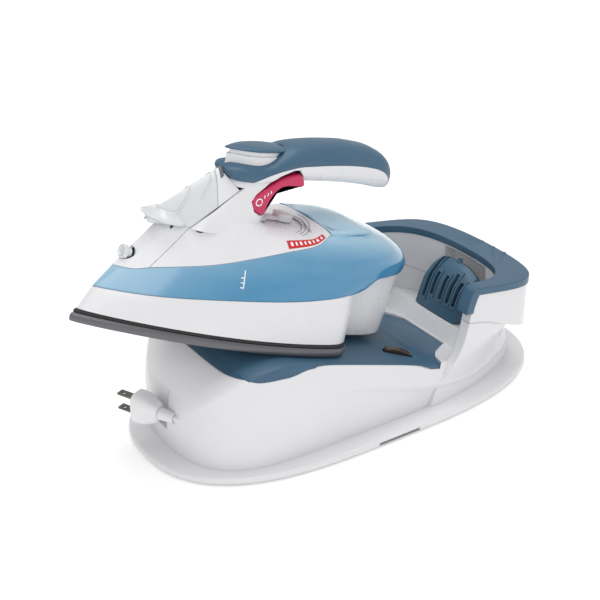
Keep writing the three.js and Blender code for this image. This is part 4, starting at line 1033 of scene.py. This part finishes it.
SWEEP = [(30, -5), (42, 22), (52, 30), (60, 40), (66, 52), (70, 66), (72.5, 78), (78.5, 104)]
SWEEP_LINE = rounded(SWEEP, False, 8)
SHELF_FOOT = (TRAY_REAR[0] + 1, TRAY_REAR[1] - 0.5)
SHELF_EDGE = (97, 40.3)
SHELF_REAR = 160
COWL_HALF = 25
BAY = (-60, 65.5, 8, 6)
SEAM_LINE = [(60, 75), (90, 68), (150, 43), (220, 15)]


def cap_low(x):
    """The slate cap on the wall slopes down to the rear."""
    return 95.6 - 0.16 * (x - 80)


def seam_above(drop):
    return across([(x, z - drop) for x, z in SEAM_LINE] + [(220, 200), (60, 200)], 120)


def bay_stack(grow):
    front, half, fp, rp = BAY
    rings = []
    for z in spans(20, 112, 16):
        rings.append(ring_at(super_outline((front, 138 - z * 0.07, half, fp, rp), -grow), z))
    bay = lofted(rings)
    lid = cap_low(180) - 1.6 + grow, cap_low(80) - 1.6 + grow
    garage = box((40, 2 * (COWL_HALF + 1.5 + grow), 90), (120 + grow, 0, 45))
    bay = join(bay, meet(garage, across([(80, -20), (180, -20), (180, lid[0]), (80, lid[1])], 60)))
    rear_low = SHELF_EDGE[1] - (SHELF_REAR - SHELF_EDGE[0]) * math.tan(PITCH) - grow
    floor = [
        (-80, tray_plane(-80) + 2.2 - grow),
        (TRAY_REAR[0] - 6, tray_plane(TRAY_REAR[0] - 6) + 2.2 - grow),
        (SHELF_FOOT[0], SHELF_FOOT[1] + 1.4 - grow),
        (SHELF_EDGE[0], SHELF_EDGE[1] - grow),
        (SHELF_REAR, rear_low),
    ]
    return meet(bay, across(floor + [(SHELF_REAR, 130), (-80, 130)], 90))


TRAY_NEAR = [
    (-138.6, -8), (-138.4, -30), (-137, -46), (-134, -58), (-129.5, -67), (-124, -74),
    (-117, -80), (-104, -81), (-96, -79), (-89, -76), (-82, -73), (-74, -71.4),
    (-60, -71), (46, -71), (51, -67), (54, -55), (62, -46), (87.6, -27),
]
LOBE = [
    (-150, 30), (-139, 0.2), (-131, 1.4), (-124.5, 5.2), (-119, 7), (-111, 8.2), (-102, 8.4), (-95, 7.2),
    (-88, 4.6), (-82, 2.6), (-74, 1.3), (-60, 1.2),
]
DOME_AT = (22, -46)
SCREWS = [(-120, 64.5), (-120, -64.5), (130, 44), (130, -44)]


def tray_outline(grow=0.0):
    bend = rounded(TRAY_NEAR[:13], False, 5) + TRAY_NEAR[13:]
    near = [(x + (-grow if x < -120 else grow if x > 60 else 0), y - grow) for x, y in bend]
    return near + [(x, -y) for x, y in near[::-1]]


def tray_skin(low, high):
    """The tray panel follows the body's own surface and folds over its shoulder at the front."""
    xs = spans(-150, FRONT_FROM, 40) + spans(-86, 88, 12) + [100]
    rings = []
    for x in xs:
        ring = []
        for a, y, z in island_ring(x):
            ring.append((a, y, z - lip(x) if x <= 88 else z - lip(88)))
        rings.append(ring)
    surface = lofted(rings)
    above_it = copied(surface)
    turned(surface, (0, 0, high))
    turned(above_it, (0, 0, low))
    for obj, by in ((surface, high), (above_it, low)):
        for v in obj.data.vertices:
            v.co.y += math.copysign(1, v.co.y) * min(by, 0.6) * 0.8
    return surface, above_it


def tray_panel(grow, low, high):
    surface, floor = tray_skin(low, high)
    panel = cut(surface, floor)
    panel = meet(panel, prism(tray_outline(grow), -300, 300))
    xs = spans(-150, -60, 60) + [0, 88, 110]
    deep = []
    for x in xs:
        beyond = tray_plane(x) - tray_plane(88) if x > 88 else 0
        deep.append((x, tray_top(x) + beyond - smooth(LOBE, x)[0] - grow - (1.5 if x > -60 else 0)))
    return meet(panel, across(deep + [(110, 200), (-150, 200)], 90))


def dome_slot():
    return box((26, 7, 20), (DOME_AT[0], DOME_AT[1], tray_plane(DOME_AT[0])), (0, PITCH, -0.45))


def make_housing():
    front_xs = [ISLAND_FRONT + 34 * (1 - math.cos(math.pi / 2 * i / 26)) + 0.02 for i in range(27)]
    stations = front_xs + spans(-131, -92, 14) + spans(-90, 88, 14) + [110, 135, 150, 160]
    island = lofted([island_ring(x) for x in stations])
    inner = lofted([island_ring(x, 3) for x in [-164.6, -164] + spans(-161, 156, 34)])
    heights = [2.6] + spans(6, 60, 19) + [68, 76, 84, 90, 97, 104]
    side = across(SWEEP_LINE + [(200, 104), (200, -5)], 100)
    inner_line = [(x + 3, z - (3 if z < 45 else 0)) for x, z in SWEEP]
    side_inner = across(inner_line + [(200, 104), (200, -9)], 100)
    outer_wall = meet(raised_stack(heights), side)
    inner_wall = meet(raised_stack([-4, 6, 14, 22, 30, 38, 46, 60, 75, 104], 3), side_inner)
    flange_rows = [
        (1.6, 1.2), (1.9, 0.5), (2.6, 0), (4.2, 0), (5, 0.25), (5.7, 0.9), (6.1, 1.7), (6.2, 2.6),
    ]
    flange = lofted([ring_at(super_outline(FLANGE, inset), z) for z, inset in flange_rows])
    flange_inner = join(
        lofted([ring_at(super_outline(raised_at(6), 3), z) for z in (-1, 4)]),
        lofted([ring_at(super_outline(FLANGE, 3), z) for z in (-1, FLANGE_TOP - 2.4)]),
    )
    turn = (0, 0, math.pi / 2 + PLUG_TURN)
    pocket_at = (PLUG_AT[0], PLUG_AT[1] - 4, PLUG_AT[2])
    mouth_at = (PLUG_AT[0] - 2.4, PLUG_AT[1] + 1.5, PLUG_AT[2])
    shell = join(island, cut(outer_wall, seam_above(GAP)))
    shell = cut(shell, bay_stack(0))
    shell = cut(shell, box((38, 26, 31), mouth_at, turn))
    hollow = join(join(inner, inner_wall), flange_inner)
    hollow = cut(hollow, bay_stack(3))
    hollow = cut(hollow, box((64, 32, 42), pocket_at, turn))
    housing = cut(join(flange, shell), hollow)
    housing = cut(housing, tray_panel(GAP, -2.3, 12))
    housing = cut(housing, dome_slot())
    for x, y in SCREWS:
        housing = join(housing, rod(4.6, 16, (x, y, 12), sides=24))
        housing = cut(housing, rod(1.9, 15, (x, y, 10.5), sides=24))
    housing = cut(housing, box((40, 30, 2.6), (-9, -92, 3.2)))
    piece(
        housing, "base_body", "base_white", ["base_housing"],
        body="base", place=BASE,
    )


def make_tray():
    tray = cut(tray_panel(0, -2, 0.0), dome_slot())
    piece(tray, "tray_panel", "slate_plastic", ["tray"], body="base", place=BASE)


def make_wall():
    panel = lofted([ring_at(super_outline(raised_at(WALL_TOP)), z) for z in (16, 104)])
    wall = meet(panel, across(SWEEP_LINE + [(200, 104), (200, -5)], 100))
    wall = cut(wall, bay_stack(0))
    wall = meet(wall, seam_above(0))
    void = meet(
        lofted([ring_at(super_outline(raised_at(WALL_TOP), 2.4), z) for z in (10, 112)]),
        across([(x + 3, z) for x, z in SWEEP] + [(200, 112), (200, -5)], 100),
    )
    wall = cut(wall, meet(cut(void, bay_stack(2.4)), seam_above(-2.4)))
    under_cap = [(60, 81), (74.4, 80.5), (79.8, cap_low(79.8)), (200, cap_low(200))]
    wall = cut(wall, across(under_cap + [(200, 115), (60, 115)], 100))
    piece(wall, "wall_shell", "base_white", ["rear_wall"], body="base", place=BASE)


def make_trim():
    trim = lofted([ring_at(super_outline(raised_at(WALL_TOP), -0.9), z) for z in (70, 90, 106)])
    trim = cut(trim, bay_stack(-0.6))
    crest = cap_low(78) + CAP_THICK
    nose = rounded([(78, crest), (74, crest - 1.6), (71, 96), (68.4, 88), (67, 81.5)], False, 6)
    trim_side = [(67, 81.5)] + rounded([(74.2, 80.8), (75.6, 88), (79.5, cap_low(79.5) + GAP)], False, 6)
    trim_side += [(200, cap_low(200) + GAP), (200, cap_low(200) + CAP_THICK)] + nose[:-1]
    trim = meet(trim, across(trim_side, 100))
    for y in (-19, -5, 9):
        knob = lathed([(0.01, -2.3), (2.2, -2.3), (2.2, 1.4), (1.8, 2), (1, 2.25), (0.01, 2.3)], sides=24)
        trim = join(trim, turned(knob, (157.4, y, cap_low(157.4) + 4.4)))
    piece(trim, "wall_trim", "trim_slate", ["rim_trim"], body="base", place=BASE)


def make_dome():
    reach, spring, bottom = 11.6, -1.7, -4.6
    half = ((-2.9, 0.82), (-2.6, 0.93), (-2, 0.985), (-1, 1))
    rings = []
    for y, k in half + tuple((-y, k) for y, k in half[::-1]):
        arch = [(reach * k * math.cos(a), y, spring + 2.4 * k * math.sin(a)) for a in spans(0, math.pi, 33)]
        rings.append(arch + [(-reach * k, y, bottom), (reach * k, y, bottom)])
    dome = join(lofted(rings), rod(2, 14, (0, 0, -10)))
    turned(dome, (DOME_AT[0] + 1, DOME_AT[1], tray_plane(DOME_AT[0]) + 2.9), (0, PITCH, -0.45))
    piece(dome, "sensor_dome", "sensor_bronze", ["sensor_plunger"], body="iron_sensor", place=BASE)


COWL = [(0, 0.6), (0.6, 26), (3.6, 36), (7.4, 43), (12, 48), (16, 47), (16, 0.6)]


def cowl_ring(y, inset, outline):
    fall = 1 - abs(y / 27) ** 2.6 * 0.16
    bow = abs(y / 27) ** 2 * 1.2
    return [(x + inset + bow, y, z * fall - inset if z > 20 else z) for x, z in outline]


def make_cowl():
    front = rounded(COWL[:5], False, 8)
    outline = front + [(14.2, 48), (16, 47), (16, 0.6)]
    ys = spans(-25, 25, 41)
    cover = lofted([cowl_ring(y, 0, outline) for y in ys])
    hollow = []
    for y in spans(-23, 23, 31):
        ring = cowl_ring(y, 2, outline)
        hollow.append([(x + 20 if x > 17 else x, a, z - 20 if z < 20 else z) for x, a, z in ring])
    cover = cut(cover, lofted(hollow))
    slots = ((17, 28, 19), (8.5, 24.5, 10.5), (-2.6, 24.5, 11), (-11.6, 27, 13.5), (-19.4, 24.5, 11))
    proud = lofted([cowl_ring(y, -0.9, outline) for y in ys])
    rims = None
    for y, z, reach in slots:
        rim = meet(copied(proud), box((30, 7, 2 * reach + 5), (0, y, z), (0, 0.05, 0)))
        rims = rim if rims is None else join(rims, rim)
    bpy.data.objects.remove(proud)
    core = [cowl_ring(y, 1, outline) for y in spans(-26, 26, 31)]
    rims = cut(rims, lofted([[(x + 14 if x > 13 else x, a, z) for x, a, z in ring] for ring in core]))
    cover = join(cover, rims)
    for y, z, reach in slots:
        cover = cut(cover, box((30, 3.8, 2 * reach), (0, y, z), (0, 0.05, 0)))
    cover = join(cover, rod(2.8, 5.4, (13, 0, 48.2), sides=32, top=2.2))
    piece(
        cover, "cowl_cover", "slate_plastic", ["connector_shutter"],
        body="connector_shutter", place=COWL_FRAME,
    )


def make_plug():
    rows = [
        (-14, 6, 5), (-13.4, 6.8, 5.6), (-10, 9, 7), (0, 12.4, 9), (7, 12.8, 9.4),
        (7.7, 12.5, 9.1), (8, 12, 8.7),
    ]
    rings = []
    for x in spans(-14, 7, 22) + [7.4, 7.7, 7.9, 8]:
        high, deep = smooth(rows, x)
        rings.append([(x, y, z) for y, z in circle(deep, high, 48, 0.6)])
    plug = lofted(rings)
    piece(plug, "plug_moulding", "white_lead", ["plug_body"], body="base", place=PLUG_FRAME)


# ------------------------------------------------------------------ carried-over CAD nodes
def dress_nodes():
    slots = {row["node"]: row["material_slot"] for row in frame["record"]["subparts"]}
    for name, obj in frame["nodes"].items():
        look = slots[name]
        if name in ("cord", "plug_strain_relief"):
            look = "white_lead"
        if name in ("plug_blade_a", "plug_blade_b"):
            look = "plug_pin"
        for material_slot in obj.material_slots:
            material_slot.material = LOOKS[look]


def set_stage():
    floor = bpy.data.meshes.new("floor")
    corners = [(-6, -6, 0), (6, -6, 0), (6, 6, 0), (-6, 6, 0)]
    floor.from_pydata(corners, [], [(0, 1, 2, 3)])
    obj = bpy.data.objects.new("floor", floor)
    scene.collection.objects.link(obj)
    obj.location.z = -0.0002
    mat = bpy.data.materials.new("floor")
    mat.use_nodes = True
    shader = mat.node_tree.nodes["Principled BSDF"]
    shader.inputs["Base Color"].default_value = (0.9, 0.9, 0.9, 1)
    shader.inputs["Roughness"].default_value = 0.85
    shader.inputs["Emission Color"].default_value = (1, 1, 1, 1)
    shader.inputs["Emission Strength"].default_value = 0.22
    floor.materials.append(mat)
    world = bpy.data.worlds.new("studio")
    scene.world = world
    world.use_nodes = True
    background = world.node_tree.nodes["Background"]
    background.inputs["Color"].default_value = (1, 1, 1, 1)
    background.inputs["Strength"].default_value = 0.62
    for name, at, size, power in (
        ("key", (-0.9, -1.3, 1.1), 1.0, 7),
        ("fill", (1.4, -1.0, 0.7), 1.2, 1.5),
        ("top", (0.1, 0.2, 1.9), 1.6, 18),
    ):
        data = bpy.data.lights.new(name, "AREA")
        data.size = size
        data.energy = power
        lamp = bpy.data.objects.new(name, data)
        scene.collection.objects.link(lamp)
        lamp.location = at
        lamp.rotation_euler = (Vector((0, 0, 0.1)) - Vector(at)).to_track_quat("-Z", "Y").to_euler()
    scene.view_settings.view_transform = "Standard"


place_camera()
set_stage()
make_sole()
make_skirt()
make_tank()
make_shell()
make_door_details()
make_handle()
make_scale()
make_level_mark()
make_icons()
make_slot_painted_shade()
make_trigger()
make_lever()
make_heel()
make_housing()
make_tray()
make_wall()
make_trim()
make_dome()
make_cowl()
make_plug()
dress_nodes()
